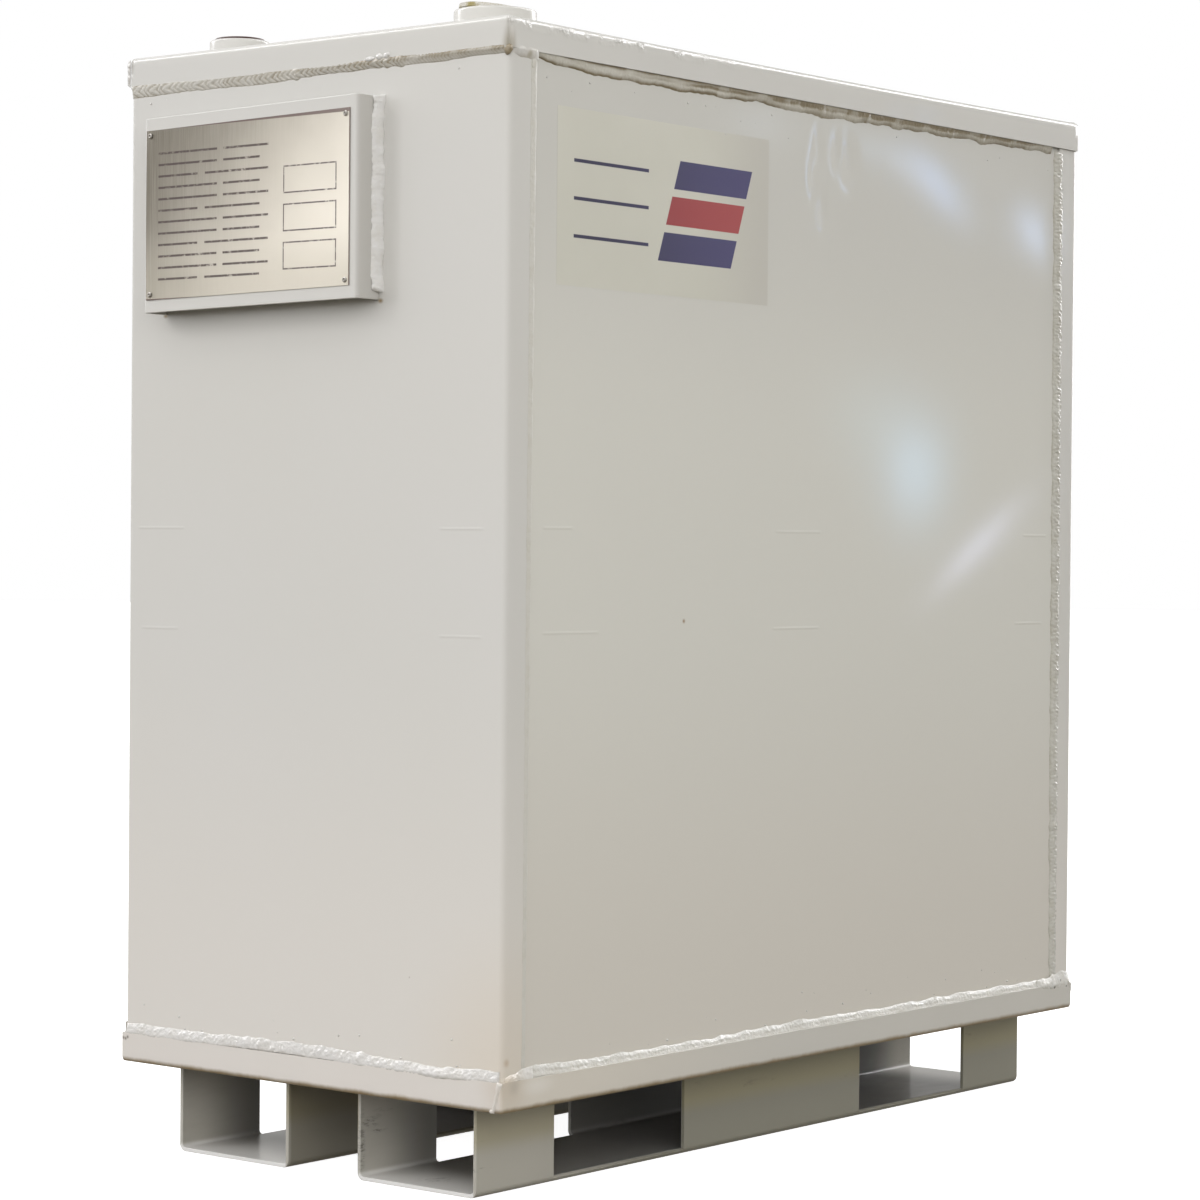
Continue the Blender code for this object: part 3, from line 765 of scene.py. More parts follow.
def make_end_sheet(name, turned, material, seed):
    """An end sheet with its returns: a bent path swept upward. The returns narrow toward the foot."""
    back = FRONT_Y + RETURN_FLANGE
    side = BODY_HALF_WIDTH
    corners = [(-side, back), (-side, FRONT_Y), (side, FRONT_Y), (side, back)]
    points, normals, lengths = rounded_path(corners, BEND, MEDIUM)
    heights = steps_between(END_LOW[2], END_HIGH[2], COARSE)
    along, up = np.meshgrid(lengths, heights - PAN_FOOT, indexing="ij")
    start, full = RETURN_FLANGE + 12 * MM, RETURN_FLANGE + 70 * MM
    flat = smoothstep(start, full, along)
    flat = flat * smoothstep(start, full, lengths[-1] - along)
    hold = fade_edges(along, up, lengths[-1], heights[-1] - PAN_FOOT, 0.05)
    lift = wall_relief(seed)(along, up) * flat * hold
    grid = np.empty((len(points), len(heights), 3))
    grid[..., 0] = points[:, None, 0] + normals[:, None, 0] * lift
    grid[..., 1] = points[:, None, 1] + normals[:, None, 1] * lift
    grid[..., 2] = heights[None, :]
    bend_end = FRONT_Y + BEND
    high_part = (heights - heights[0]) / (heights[-1] - heights[0])
    reach = RETURN_FOOT + (RETURN_FLANGE - RETURN_FOOT) * high_part - BEND
    narrowed = bend_end + (points[:, None, 1] - bend_end) * reach[None, :] / (RETURN_FLANGE - BEND)
    grid[..., 1] = np.where(points[:, None, 1] > bend_end, narrowed, grid[..., 1])
    add_sheet(name, grid, turned, material)


def make_side_sheet(name, turned, material, seed, dents):
    """A flat side sheet between the end sheets' returns, with its waves and dents."""
    under = 9 * MM
    ys = steps_between(SIDE_LOW[1] - under, SIDE_HIGH[1] + under, FINE)
    heights = steps_between(SIDE_LOW[2], SIDE_HIGH[2], FINE)
    along, up = np.meshgrid(ys - NEAR_Y, heights - PAN_FOOT, indexing="ij")
    inset = SIDE_LOW[1] - NEAR_Y
    length, height = ys[-1] - ys[0], heights[-1] - heights[0]
    hold = fade_edges(along - inset, up - (SIDE_LOW[2] - PAN_FOOT), length, height, 0.07)
    grid = np.empty((len(ys), len(heights), 3))
    grid[..., 0] = SIDE_X + wall_relief(seed, dents)(along, up) * hold
    grid[..., 1] = ys[:, None]
    grid[..., 2] = heights[None, :]
    add_sheet(name, grid, turned, material)


def bowed(points, normals, end_bow, side_bow, tilt):
    """How far the welds pull a pan's edges out of level: each bow is (middle, corners), in millimetres."""
    end_weight = smoothstep(0.2, 0.98, np.abs(normals[:, 1]))
    x = points[:, 0] / HALF_WIDTH
    y = (points[:, 1] - CENTRE_Y) / HALF_LENGTH
    end_line = end_bow[0] + (end_bow[1] - end_bow[0]) * x ** 2
    side_line = side_bow[0] + (side_bow[1] - side_bow[0]) * y ** 2
    return (end_weight * end_line + (1 - end_weight) * side_line + tilt * y) * MM


def make_tray(name, foot, flat, material, seed, notch, corner, end_bow=(0, 0), side_bow=(0, 0), tilt=0.0):
    """A pan: its flanges, bends and flat sheet as rings round the tank, from the flange's edge to the middle.

    foot is the height of the flat face and flat is +1 where the flat face looks up, -1 where it looks down.
    corner is the radius of the upright corners, and notch is how far they are hollowed between the flanges.
    """
    corners = [(-HALF_WIDTH, FAR_Y), (-HALF_WIDTH, NEAR_Y), (HALF_WIDTH, NEAR_Y), (HALF_WIDTH, FAR_Y)]
    points, normals, _ = rounded_path(corners, corner, 10 * MM, closed=True, arc_steps=10)
    ripple = smooth_field(seed, 0.05, 0.4)
    crown = smooth_field(seed + 1, 0.3, 0.9)
    part_turned = np.arctan2(np.abs(normals[:, 1]), np.abs(normals[:, 0])) / (math.pi / 2)
    hollow = (notch * np.sin(math.pi * part_turned) ** 1.5)[:, None] * normals
    wave = 0.35 * MM * ripple(points[:, 0], points[:, 1])
    bow = bowed(points, normals, end_bow, side_bow, tilt)
    rings = []
    for part in np.linspace(0.0, 1.0, 5):
        drop = np.full(len(points), FLANGE + (BEND - FLANGE) * part)
        out = (wave * (1 - part))[:, None] * normals - hollow
        rings.append(np.column_stack([points + out, foot - flat * drop + bow * part]))
    turn = min(corner, BEND)
    for k in range(1, 7):
        angle = math.radians(90.0 * k / 6)
        ring = points - hollow * math.cos(angle) - normals * turn * (1 - math.cos(angle))
        rings.append(np.column_stack([ring, foot - flat * BEND * (1 - math.sin(angle)) + bow]))
    inner = points - normals * turn
    spine_y = np.clip(inner[:, 1], NEAR_Y + HALF_WIDTH, FAR_Y - HALF_WIDTH)
    spine = np.column_stack([np.zeros(len(points)), spine_y])
    for part in PAN_RINGS:
        ring = inner + (spine - inner) * part
        dip = 0.8 * MM * crown(ring[:, 0], ring[:, 1]) * smoothstep(0.3, 0.8, part)
        sink = flat * (dip - 1.2 * MM * smoothstep(0.3, 1, part))
        rings.append(np.column_stack([ring, foot + sink + bow * (1 - smoothstep(0, 0.16, part))]))
    mesh = grid_mesh(name, np.stack(rings, axis=1), wrap_u=True, flip=flat < 0)
    with editing(mesh) as bm:
        bmesh.ops.remove_doubles(bm, verts=bm.verts, dist=0.05 * MM)
    tray = piece(name + "_skin", mesh, material, name)
    solidify(tray, SHEET)
    soften_edges(tray, 0.7 * MM)


class Bead:
    """One weld bead along a straight lap: a sloping fillet with ripples, and a lump at each restart.

    edges lists, in millimetres: (distance along, how far over the flange, how far over the sheet).
    """

    # Form: the lap, the ripples' length, slant and height, doubled crests, grain, and changes of width
    step = LAP
    pitch = 5.5 * MM
    slant = 0.9
    ripple = 0.35 * MM
    lobes = 0.0
    early_lobes = (1.0, 1.0)
    rough = 0.16 * MM
    uneven = 1.0 * MM
    ragged = 14 * MM
    taper = 5 * MM
    # Restarts, the runs between them, and further lumps: (place, size)
    joints = ()
    run_pitch = ()
    run_ripple = ()
    lumps = ()
    # Darkening, part grime and part painted shade: painted shade between the ripples, grime and painted shade
    # along the toes, and painted shade over the whole face from start to end
    hollow_shade = 0.5
    toes = 0.5
    toe_widths = (0.12, 0.10)
    late_toe = 1.0
    tint = (0.0, 0.0)
    lower_light = 0.9

    def __init__(self, seed, length, edges, bulge, **traits):
        self.seed, self.length, self.bulge = seed, length, bulge
        self.rng = np.random.default_rng(seed)
        self.edges = np.array(edges, float) * MM
        vars(self).update(traits)

    def phase(self, t):
        """Ripples passed by t, with each run's own pitch and a little hurry and delay."""
        ends = [0.0, *self.joints, self.length]
        total = np.zeros_like(t)
        for k, (start, end) in enumerate(zip(ends, ends[1:])):
            pitch = self.run_pitch[k] if k < len(self.run_pitch) else self.pitch
            total += np.clip(t - start, 0, end - start) / pitch + 0.37 * k * (t > start)
        return total + 0.35 * wander(self.seed + 5, 0.02, 0.09)(t)

    def ripple_size(self, t):
        ends = [0.0, *self.joints, self.length]
        size = np.full_like(t, self.ripple)
        for k, height in enumerate(self.run_ripple):
            size[(t >= ends[k]) & (t <= ends[k + 1])] = height
        return size

    def lump_size(self, t):
        """Lumps at the restarts and where asked for, each with a dip behind it."""
        total = np.zeros_like(t)
        sizes = np.random.default_rng(self.seed + 6).uniform(0.15, 1.0, len(self.joints))
        for place, size in [*self.lumps, *zip(self.joints, sizes)]:
            total = total + size * np.exp(-((t - place) / (5 * MM)) ** 2)
            total = total - 0.6 * size * np.exp(-((t - place - 7 * MM) / (3 * MM)) ** 2)
        return total

    def grime_and_shade(self, t, q2, crest, ripple, lobes, fat):
        wide, narrow = self.toe_widths
        lower = np.interp(t / self.length, (0.3, 0.45), (1.0, self.late_toe))[:, None]
        # Dark lines along both toes: grime and painted shade.
        lines = self.toes * (np.exp(-(q2 / wide) ** 2) + 0.9 * lower * np.exp(-((1 - q2) / narrow) ** 2))
        # Painted shade over the face, strongest by the flange.
        darkening = np.interp(t, np.linspace(0, self.length, len(self.tint)), self.tint)[:, None]
        darkening = darkening * (1 + 0.2 * fat[:, None])
        darkening = darkening * (1.1 - self.lower_light * smoothstep(0.25, 0.8, q2))
        # Painted shade in the crease between the lobes.
        cleft = lobes * self.toes * np.exp(-((q2 - 0.42) / 0.10) ** 2)
        # Painted shade in the hollows between the ripples.
        hollow_shade = self.hollow_shade * (1 - crest) ** 2 * np.minimum(ripple / (0.3 * MM), 1.0)
        return np.clip(lines + darkening + cleft + hollow_shade, 0, 1.3)

    def section(self, t, q):
        """(out, down, darkness) of the face at lengths t and at q, 0 at the flange and 1 at the far toe; the
        darkness is grime and painted shade.
        """
        low = wander(self.seed + 1, self.ragged, 0.12)(t)
        top = wander(self.seed + 2, 0.010, 0.08)(t)
        fat = wander(self.seed + 3, 0.02, 0.15)(t)
        lump = self.lump_size(t)
        swell = np.maximum(lump, 0)
        lobe = np.abs(np.sin(math.pi * self.phase(t)))
        lip = np.interp(t, self.edges[:, 0], self.edges[:, 1]) + 0.5 * self.uneven * top + 0.8 * MM * swell
        spread = np.interp(t, self.edges[:, 0], self.edges[:, 2]) + self.uneven * low + 1.5 * MM * swell
        bulge = self.bulge * (1 + 0.3 * fat) + 0.9 * MM * lump
        ripple = self.ripple_size(t)[:, None]
        lip = lip + ripple[:, 0] * (lobe - 0.5)
        spread = spread + ripple[:, 0] * (lobe - 0.5)
        q2, t2 = q[None, :], t[:, None]
        down = -lip[:, None] + (spread + lip)[:, None] * q2
        base = np.clip(self.step * (1 - down / np.maximum(spread, 0.5 * MM)[:, None]), 0.0, self.step)
        early = (0, 0.15 * self.length, 0.3 * self.length)
        lobes = np.interp(t, early, (*self.early_lobes, 1.0)) * self.lobes
        lobes = (lobes * np.clip(0.65 + 0.6 * wander(self.seed + 4, 0.04, 0.25)(t), 0, 1))[:, None]
        ledge = 0.25 + 0.6 * np.exp(-((q2 - 0.18) / 0.13) ** 2) + 0.95 * np.exp(-((q2 - 0.68) / 0.17) ** 2)
        form = (1 - lobes) * np.sin(math.pi * q2) + lobes * ledge * np.sin(math.pi * q2) ** 0.5
        crest = np.abs(np.sin(math.pi * (self.phase(t)[:, None] + self.slant * np.abs(q2 - 0.5))))
        grain = self.rng.normal(0, 1, (len(t), len(q)))
        grain = (grain + np.roll(grain, 1, 0) + np.roll(grain, 1, 1) + np.roll(grain, -1, 0)) / 2.0
        coarse = smooth_field(self.seed + 9, 0.004, 0.012, 20)(t2, down)
        surface = ripple * (2 * crest - 1) + self.rough * grain * 0.6 + self.rough * 1.2 * coarse
        out = base + bulge[:, None] * form + surface * np.sin(math.pi * q2) ** 0.5
        ends = np.clip(np.minimum(t, self.length - t) / self.taper, 0, 1)
        ends = np.sqrt(1 - (1 - ends) ** 2)
        out = out * ends[:, None] - 0.25 * MM * (q2 > 0.97) - 0.35 * MM * (1 - ends[:, None])
        return out, down, self.grime_and_shade(t, q2, crest, ripple, lobes, fat)

    def mesh(self, name, to_place, step=1.1 * MM, across=12):
        """The closed mesh of the bead; to_place maps arrays (t, out, down) to points."""
        t = steps_between(0, self.length, step)
        out, down, grime_and_shade = self.section(t, np.linspace(0, 1, across))
        back = np.full((len(t), 2), -0.8 * MM)
        out = np.concatenate([out, back], axis=1)
        down = np.concatenate([down, down[:, -1:] * 0.9, down[:, :1]], axis=1)
        grid = to_place(np.broadcast_to(t[:, None], out.shape), out, down)
        mesh = grid_mesh(name, grid, wrap_v=True, caps=True)
        marks = np.zeros(out.shape)
        marks[:, :across] = grime_and_shade
        mark_grime_and_shade(mesh, marks)
        tidy_normals(mesh)
        return mesh


def straight(origin, along, out, down):
    """A map from (t, out, down) to points, from an origin and three directions."""
    origin, along, out_way, down_way = (np.array(v, float) for v in (origin, along, out, down))

    def to_place(t, o, d):
        return origin + t[..., None] * along + o[..., None] * out_way + d[..., None] * down_way

    return to_place


def ring_round(centre, radius):
    """A map that wraps a bead round an upright pipe: out is up, down is away from the pipe."""
    def to_place(t, o, d):
        angle = t / radius
        reach = radius + d
        x = centre[0] + reach * np.cos(angle)
        y = centre[1] + reach * np.sin(angle)
        return np.stack([x, y, centre[2] + o], axis=-1)

    return to_place


def add_bead(name, bead, lines, paint, node=None, turned=False):
    mesh = bead.mesh(name, straight(*lines))
    if turned:
        mesh.transform(half_turn())
    piece(name + "_bead", mesh, paint, node, 60.0)


def from_corner(start, places):
    """Metres along a bead, from its start and places that are measured from the corner, in millimetres."""
    return tuple((value - start) * MM for value in places)


def moved(edges, start):
    return [(along - start, lip, spread) for along, lip, spread in edges]


SIDE_BEAD_START = 52.0
SIDE_BEAD_END = 1153.0
END_BEAD_START = 6.3

# Edges of the lap beads: (from the near or left corner, over the flange, over the sheet), in millimetres
END_TOP_EDGES = ((23, 2.4, 12.6), (126, 0.8, 10.9), (226, 1.2, 12.6), (322, 1.0, 8.6), (416, 3.0, 7.6),
                 (507, 2.6, 8.0), (574, 3.0, 5.5))
END_FOOT_EDGES = ((34, 1.1, 12.6), (137, 0.4, 12.1), (237, -1.4, 14.6), (334, -0.6, 15.0), (428, 1.8, 11.6),
                  (520, 3.8, 8.8), (579, 0.6, 13.0))
SIDE_TOP_EDGES = ((52, 1.0, 3.5), (64, 1.8, 7.0), (87, 2.5, 9.5), (120, 1.4, 12.0), (159, 0.3, 13.8),
                  (348, 1.2, 14.4), (469, 1.3, 11.7), (595, 2.1, 15.6), (727, 0.9, 12.8), (866, 2.4, 11.8),
                  (1012, 3.0, 10.7), (1113, 4.2, 9.0))
SIDE_FOOT_EDGES = ((52, -1.0, 8.0), (66, -1.0, 13.6), (137, 3.4, 10.2), (248, 2.6, 9.6), (404, 3.1, 9.0),
                   (570, 1.1, 12.0), (746, 0.9, 9.5), (934, 2.0, 10.8), (1109, 3.4, 9.8))


def lap_beads(seed, end_length, side_length):
    """The beads under the lid's edge and over the bottom pan's: end top, end foot, side top, side foot."""
    end_top = Bead(
        seed + 10, end_length, moved(END_TOP_EDGES, END_BEAD_START), 0.45 * MM, slant=-2.0, hollow_shade=0.95,
        rough=0.05 * MM, joints=from_corner(END_BEAD_START, (167, 282, 446)),
        run_pitch=(10.5 * MM, 9.0 * MM, 8.5 * MM, 5.0 * MM),
        run_ripple=(0.36 * MM, 0.34 * MM, 0.32 * MM, 0.16 * MM),
        tint=(-0.1, 0.85), uneven=0.6 * MM, lumps=((0.405, 0.8), (0.418, 0.9)), taper=3 * MM)
    end_foot = Bead(
        seed + 20, end_length, moved(END_FOOT_EDGES, END_BEAD_START), 0.6 * MM, pitch=5.0 * MM,
        ripple=0.08 * MM, rough=0.25 * MM, uneven=1.1 * MM, hollow_shade=0.1,
        joints=from_corner(END_BEAD_START, (118, 212, 330, 396, 526)))
    side_top = Bead(
        seed + 30, side_length, moved(SIDE_TOP_EDGES, SIDE_BEAD_START), 0.9 * MM, step=1.3 * LAP,
        pitch=6.5 * MM, ripple=0.05 * MM, lobes=1.0, rough=0.14 * MM, uneven=1.8 * MM, ragged=12 * MM,
        hollow_shade=0.2, toes=1.5,
        joints=from_corner(SIDE_BEAD_START, (348, 418, 531, 606, 705, 902, 975, 1050)),
        tint=(0.0, 0.08, 0.55, 0.9, 0.85, 0.85), early_lobes=(0.0, 0.2), toe_widths=(0.20, 0.24),
        late_toe=0.4, lower_light=0.6)
    side_foot = Bead(
        seed + 40, side_length, moved(SIDE_FOOT_EDGES, SIDE_BEAD_START), 0.5 * MM, pitch=6.0 * MM,
        ripple=0.04 * MM, lobes=1.0, rough=0.22 * MM, uneven=1.3 * MM, ragged=20 * MM, taper=12 * MM,
        hollow_shade=0.05, toes=0.3,
        joints=from_corner(SIDE_BEAD_START, (175, 415, 508, 875)))
    return end_top, end_foot, side_top, side_foot


def seam_beads(seed, length):
    """The upright beads between the side sheet and the end sheets' returns: near and far."""
    near = Bead(
        seed + 50, length, ((0, 5.0, 4.0), (500, 6.5, 4.5), (1100, 8.0, 6.0)), 0.55 * MM, step=1.05 * LAP,
        pitch=7 * MM, ripple=0.03 * MM, rough=0.12 * MM, uneven=1.2 * MM, ragged=20 * MM, hollow_shade=0.0, toes=0.0,
        joints=(0.14, 0.36, 0.58, 0.75, 0.97))
    far = Bead(
        seed + 60, length, ((0, 7.5, 7.5), (250, 9.0, 9.0), (1100, 11.0, 10.5)), 0.8 * MM, step=0.9 * LAP,
        pitch=5 * MM, ripple=0.20 * MM, rough=0.45 * MM, uneven=1.5 * MM, joints=(0.21, 0.69, 0.95),
        hollow_shade=0.4, toes=0.6,
        tint=(0.0, 0.15, 0.3, 0.3))
    return near, far


def make_beads(paints):
    """The beads of the shell: first those at the front and right, then their half-turned twins."""
    end_length = 2 * HALF_WIDTH - 2 * END_BEAD_START * MM
    side_length = (SIDE_BEAD_END - SIDE_BEAD_START) * MM
    start_x = -end_length / 2
    start_y = NEAR_Y + SIDE_BEAD_START * MM
    seam_low, seam_high = PAN_EDGE + 9 * MM, LID_EDGE - 3 * MM
    seam_y = FRONT_Y + RETURN_FOOT
    narrowing = (RETURN_FLANGE - RETURN_FOOT) / (seam_high - seam_low)
    lean_y, lean_z = math.sin(narrowing), math.cos(narrowing)
    x_way, y_way, z_way = (1, 0, 0), (0, 1, 0), (0, 0, 1)
    forward, downward = (0, -1, 0), (0, 0, -1)
    for turned, (end, side) in ((False, ("front", "right")), (True, ("rear", "left"))):
        seed = 500 if turned else 100
        far_seam_name = "left_front" if turned else "right_rear"
        end_top, end_foot, side_top, side_foot = lap_beads(seed, end_length, side_length)
        near, far = seam_beads(seed, seam_high - seam_low)
        jobs = [
            (end + "_top", "top", end_top, ((start_x, FRONT_Y, LID_EDGE), x_way, forward, downward)),
            (end + "_bottom", "foot", end_foot, ((start_x, FRONT_Y, PAN_EDGE), x_way, forward, z_way)),
            (side + "_top", "side_top", side_top, ((SIDE_X, start_y, LID_EDGE), y_way, x_way, downward)),
            (side + "_bottom", "side_foot", side_foot, ((SIDE_X, start_y, PAN_EDGE), y_way, x_way, z_way)),
            (f"{side}_{end}_seam", "near_seam", near,
             ((SIDE_X, seam_y, seam_low), (0, lean_y, lean_z), x_way, y_way)),
            (far_seam_name + "_seam", "far_seam", far,
             ((SIDE_X, 2 * CENTRE_Y - seam_y, seam_low), (0, -lean_y, lean_z), x_way, forward)),
        ]
        for name, paint, bead, lines in jobs:
            add_bead(name + "_weld", bead, lines, paints[paint], name + "_weld", turned)
        make_corner_beads(end, turned, seed, paints)
        if not turned:
            make_front_corner_welds(seed, paints)


def make_corner_beads(end, turned, seed, paints):
    """What carries the lap welds round the body's corners, and the weld up the bottom pan's corner."""
    rim_edges = ((0, 0.5, 5.0), (20, 0.5, 8.0), (32, 0.5, 13.0), (50, 0.5, 13.5))
    far_rim_edges = ((0, 2.5, 9.0), (34, 5.0, 14.0), (68, 9.0, 17.0), (82, 6.0, 12.0))
    rim = Bead(seed + 71, 50 * MM, rim_edges, 0.4 * MM,
               ripple=0.03 * MM, rough=0.20 * MM, uneven=1.2 * MM, taper=9 * MM, hollow_shade=0.0, toes=0.1)
    far_rim = Bead(seed + 72, 82 * MM, far_rim_edges, 1.0 * MM,
                   ripple=0.06 * MM, rough=0.22 * MM, uneven=2.4 * MM, taper=14 * MM, hollow_shade=0.2, toes=0.4,
                   ragged=10 * MM, lumps=((40 * MM, 0.4), (62 * MM, -0.5)))
    fillet = Bead(seed + 81, 46 * MM, ((0, 4.0, 6.0), (22, 3.0, 9.0), (46, 2.0, 8.0)), 0.25 * MM,
                  ripple=0.02 * MM, rough=0.10 * MM, uneven=1.4 * MM, ragged=12 * MM, taper=10 * MM,
                  hollow_shade=0.0, toes=0.1,
                  lumps=((14 * MM, 0.3), (36 * MM, 0.5)))
    ridge = Bead(seed + 92, FLANGE + 1 * MM, ((0, 0.5, 3.0), (30, 2.5, 5.5)), 1.4 * MM, step=0.1 * MM,
                 ripple=0.02 * MM, rough=0.14 * MM, hollow_shade=0.0, toes=0.0)
    rim_ways = ((0, 1, 0), (1, 0, 0), (0, 0, 1))
    rim_y = FRONT_Y + 5 * MM
    ridge_foot = (HALF_WIDTH - 14 * MM, NEAR_Y, PAN_FOOT + 1 * MM)
    jobs = [
        ("near_rim", rim, "rim", ((BODY_HALF_WIDTH, rim_y, PAN_EDGE), *rim_ways)),
        ("far_rim", far_rim, "side_foot", ((BODY_HALF_WIDTH, FAR_Y - 86 * MM, PAN_EDGE), *rim_ways)),
        ("near_fillet", fillet, "fillet",
         ((BODY_HALF_WIDTH, rim_y, LID_EDGE), (0, 1, 0), (1, 0, 0), (0, 0, -1))),
        ("pan_corner", ridge, "ridge",
         (ridge_foot, (0.28, 0.0, 0.96), (0, -1, 0), (0.96, 0.0, -0.28))),
    ]
    for name, bead, paint, lines in jobs:
        add_bead(f"{end}_{name}", bead, lines, paints[paint], turned=turned)


def make_front_corner_welds(seed, paints):
    """The welds that close the lid's left corner and the pan's far corner, and lumps at the near corners."""
    slope = math.sqrt(0.5)
    closing = Bead(seed + 91, FLANGE - 3 * MM, ((0, 3.0, 4.0), (20, 4.5, 5.5), (32, 3.5, 4.5)), 2.2 * MM,
                   step=0.5 * MM, ripple=0.1 * MM, rough=0.35 * MM, uneven=2.6 * MM, ragged=6 * MM,
                   taper=4 * MM, hollow_shade=0.0, lumps=((9 * MM, 0.5), (23 * MM, 0.6)))
    place = offset((LEFT_X, NEAR_Y, LID_EDGE), 2.2, 2.2, 2)
    lines = (place, (0, 0, 1), (-slope, -slope, 0), (slope, -slope, 0))
    add_bead("left_lid_corner", closing, lines, paints["foot"])
    knot = Bead(seed + 93, 27 * MM, ((0, 2.5, 2.5), (9, 6.0, 6.0), (17, 6.5, 6.5), (27, 2.5, 2.5)), 3.4 * MM,
                step=0.3 * MM, ripple=0.06 * MM, rough=0.3 * MM, uneven=1.8 * MM, ragged=8 * MM,
                taper=11 * MM, hollow_shade=0.0, toes=0.3, lumps=((12 * MM, 0.4),))
    place = offset((HALF_WIDTH, FAR_Y, PAN_EDGE), -1.5, -1.5, -13)
    lines = (place, (-0.16, -0.16, 0.97), (slope, slope, 0), (slope, -slope, 0))
    add_bead("right_rear_corner", knot, lines, paints["side_foot"])
    seam_head = (BODY_HALF_WIDTH, FRONT_Y + RETURN_FLANGE, LID_EDGE)
    lid_near, lid_left = (HALF_WIDTH, NEAR_Y, LID_EDGE), (LEFT_X, NEAR_Y, LID_EDGE)
    pan_near = (HALF_WIDTH, NEAR_Y, PAN_FOOT)
    blobs = [
        ("seam_head", offset(seam_head, 0, -4, -12), (1.3, 4, 6), 5, "near_seam"),
        # The pocket lump is painted dark brown: painted shade in the lid's near corner.
        ("front_corner_pocket", offset(lid_near, -5.5, 4.0, -2), (5.6, 3.8, 6.5), 6, "pocket"),
        ("front_corner_drip", offset(pan_near, -14, 0, 2.6), (2.8, 1.4, 2.4), 11, "ridge"),
        ("front_top_lump_a", offset(lid_left, 400, 0, 3.5), (7, 1.3, 2.6), 8, "foot"),
        ("front_top_lump_b", offset(lid_left, 414, 0, 5.0), (5, 1.8, 3.4), 9, "foot"),
        ("front_top_lump_c", offset(lid_left, 426, 0, 5.5), (4.6, 2.0, 3.8), 10, "foot"),
    ]
    for name, centre, size, extra, paint in blobs:
        mesh = blob_mesh(name, centre, [value * MM for value in size], seed + 300 + extra)
        piece(name, mesh, paints[paint], angle=60.0)


def blob_mesh(name, centre, size, seed):
    """A lump of weld metal: a flattened ball with a rough, pitted skin."""
    rng = np.random.default_rng(seed)
    mesh = bpy.data.meshes.new(name)
    with editing(mesh, filled=False) as bm:
        bmesh.ops.create_icosphere(bm, subdivisions=5, radius=1.0)
        ways = np.array([v.co for v in bm.verts])
        height = np.zeros(len(ways))
        for _ in range(26):
            spot = rng.normal(0, 1, 3)
            spot = spot / np.linalg.norm(spot)
            reach = rng.uniform(0.15, 0.6)
            away = np.linalg.norm(ways - spot, axis=1) / reach
            height += rng.choice((-0.16, 0.13, 0.18)) * reach ** 0.5 * np.exp(-away ** 2)
        spread = ways * (1 + height)[:, None] * np.array(size) + np.array(centre)
        for vertex, place in zip(bm.verts, spread):
            vertex.co = place
    # Its hollows are marked darker: grime and painted shade.
    mark_grime_and_shade(mesh, smoothstep(-0.05, -0.16, height))
    return mesh


def make_skid(side, paint):
    """A channel bent from plate, with the fork pockets cut through both flanges.

    The front pocket starts a little earlier in the left flange, and goes down to the flat floor there.
    """
    low, high = (np.array(v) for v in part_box(side + "_skid_channel"))
    middle = (low[0] + high[0]) / 2
    half = (high[0] - low[0]) / 2
    height = high[2] - low[2]
    corners = [(-half, height), (-half, 0.0), (half, 0.0), (half, height)]
    points, _, _ = rounded_path(corners, SKID_BEND, 20 * MM, arc_steps=8)
    cuts = []
    for end in (low[1] + POCKET_FROM_END, high[1] - POCKET_FROM_END - POCKET_LENGTH):
        cuts += [end, end + POCKET_LENGTH]
    early = cuts[0] - 4.5 * MM
    fine = [steps_between(a, b, 24 * MM) for a, b in zip([low[1], *cuts], [*cuts, high[1]])]
    ys = np.unique(np.concatenate([[low[1], high[1], early], cuts, *fine]))
    grid = np.empty((len(points), len(ys), 3))
    wider = 2.6 * MM * np.clip(points[:, 0] / half, 0.0, 1.0)
    grid[..., 0] = (middle + points[:, 0] + wider)[:, None]
    grid[..., 1] = ys[None, :]
    grid[..., 2] = low[2] + points[:, None, 1]
    mid_y = (ys[1:] + ys[:-1]) / 2
    mid_z = (points[1:, 1] + points[:-1, 1])[:, None] / 2
    on_left = (points[1:, 0] + points[:-1, 0])[:, None] < 0
    in_pocket = ((mid_y > cuts[0]) & (mid_y < cuts[1])) | ((mid_y > cuts[2]) & (mid_y < cuts[3]))
    in_left_pocket = in_pocket | ((mid_y > early) & (mid_y < cuts[0]))
    left_cut = in_left_pocket[None, :] & (mid_z > 0.05 * MM)
    right_cut = in_pocket[None, :] & (mid_z > 5.0 * MM)
    mesh = grid_mesh(side + "_skid", grid, keep=~np.where(on_left, left_cut, right_cut), flip=True)
    with editing(mesh) as bm:
        loose = [v for v in bm.verts if not v.link_faces]
        bmesh.ops.delete(bm, geom=loose, context="VERTS")
    skid = piece(side + "_skid_plate", mesh, paint, side + "_skid_channel")
    solidify(skid, SKID_PLATE)
    soften_edges(skid, 0.5 * MM)


def leaned(x):
    """How much higher the bracket and its plate stand at x, because they hang slightly askew."""
    return (-1.0 + 5.2 * (x - BRACKET_LOW[0]) / (BRACKET_HIGH[0] - BRACKET_LOW[0])) * MM


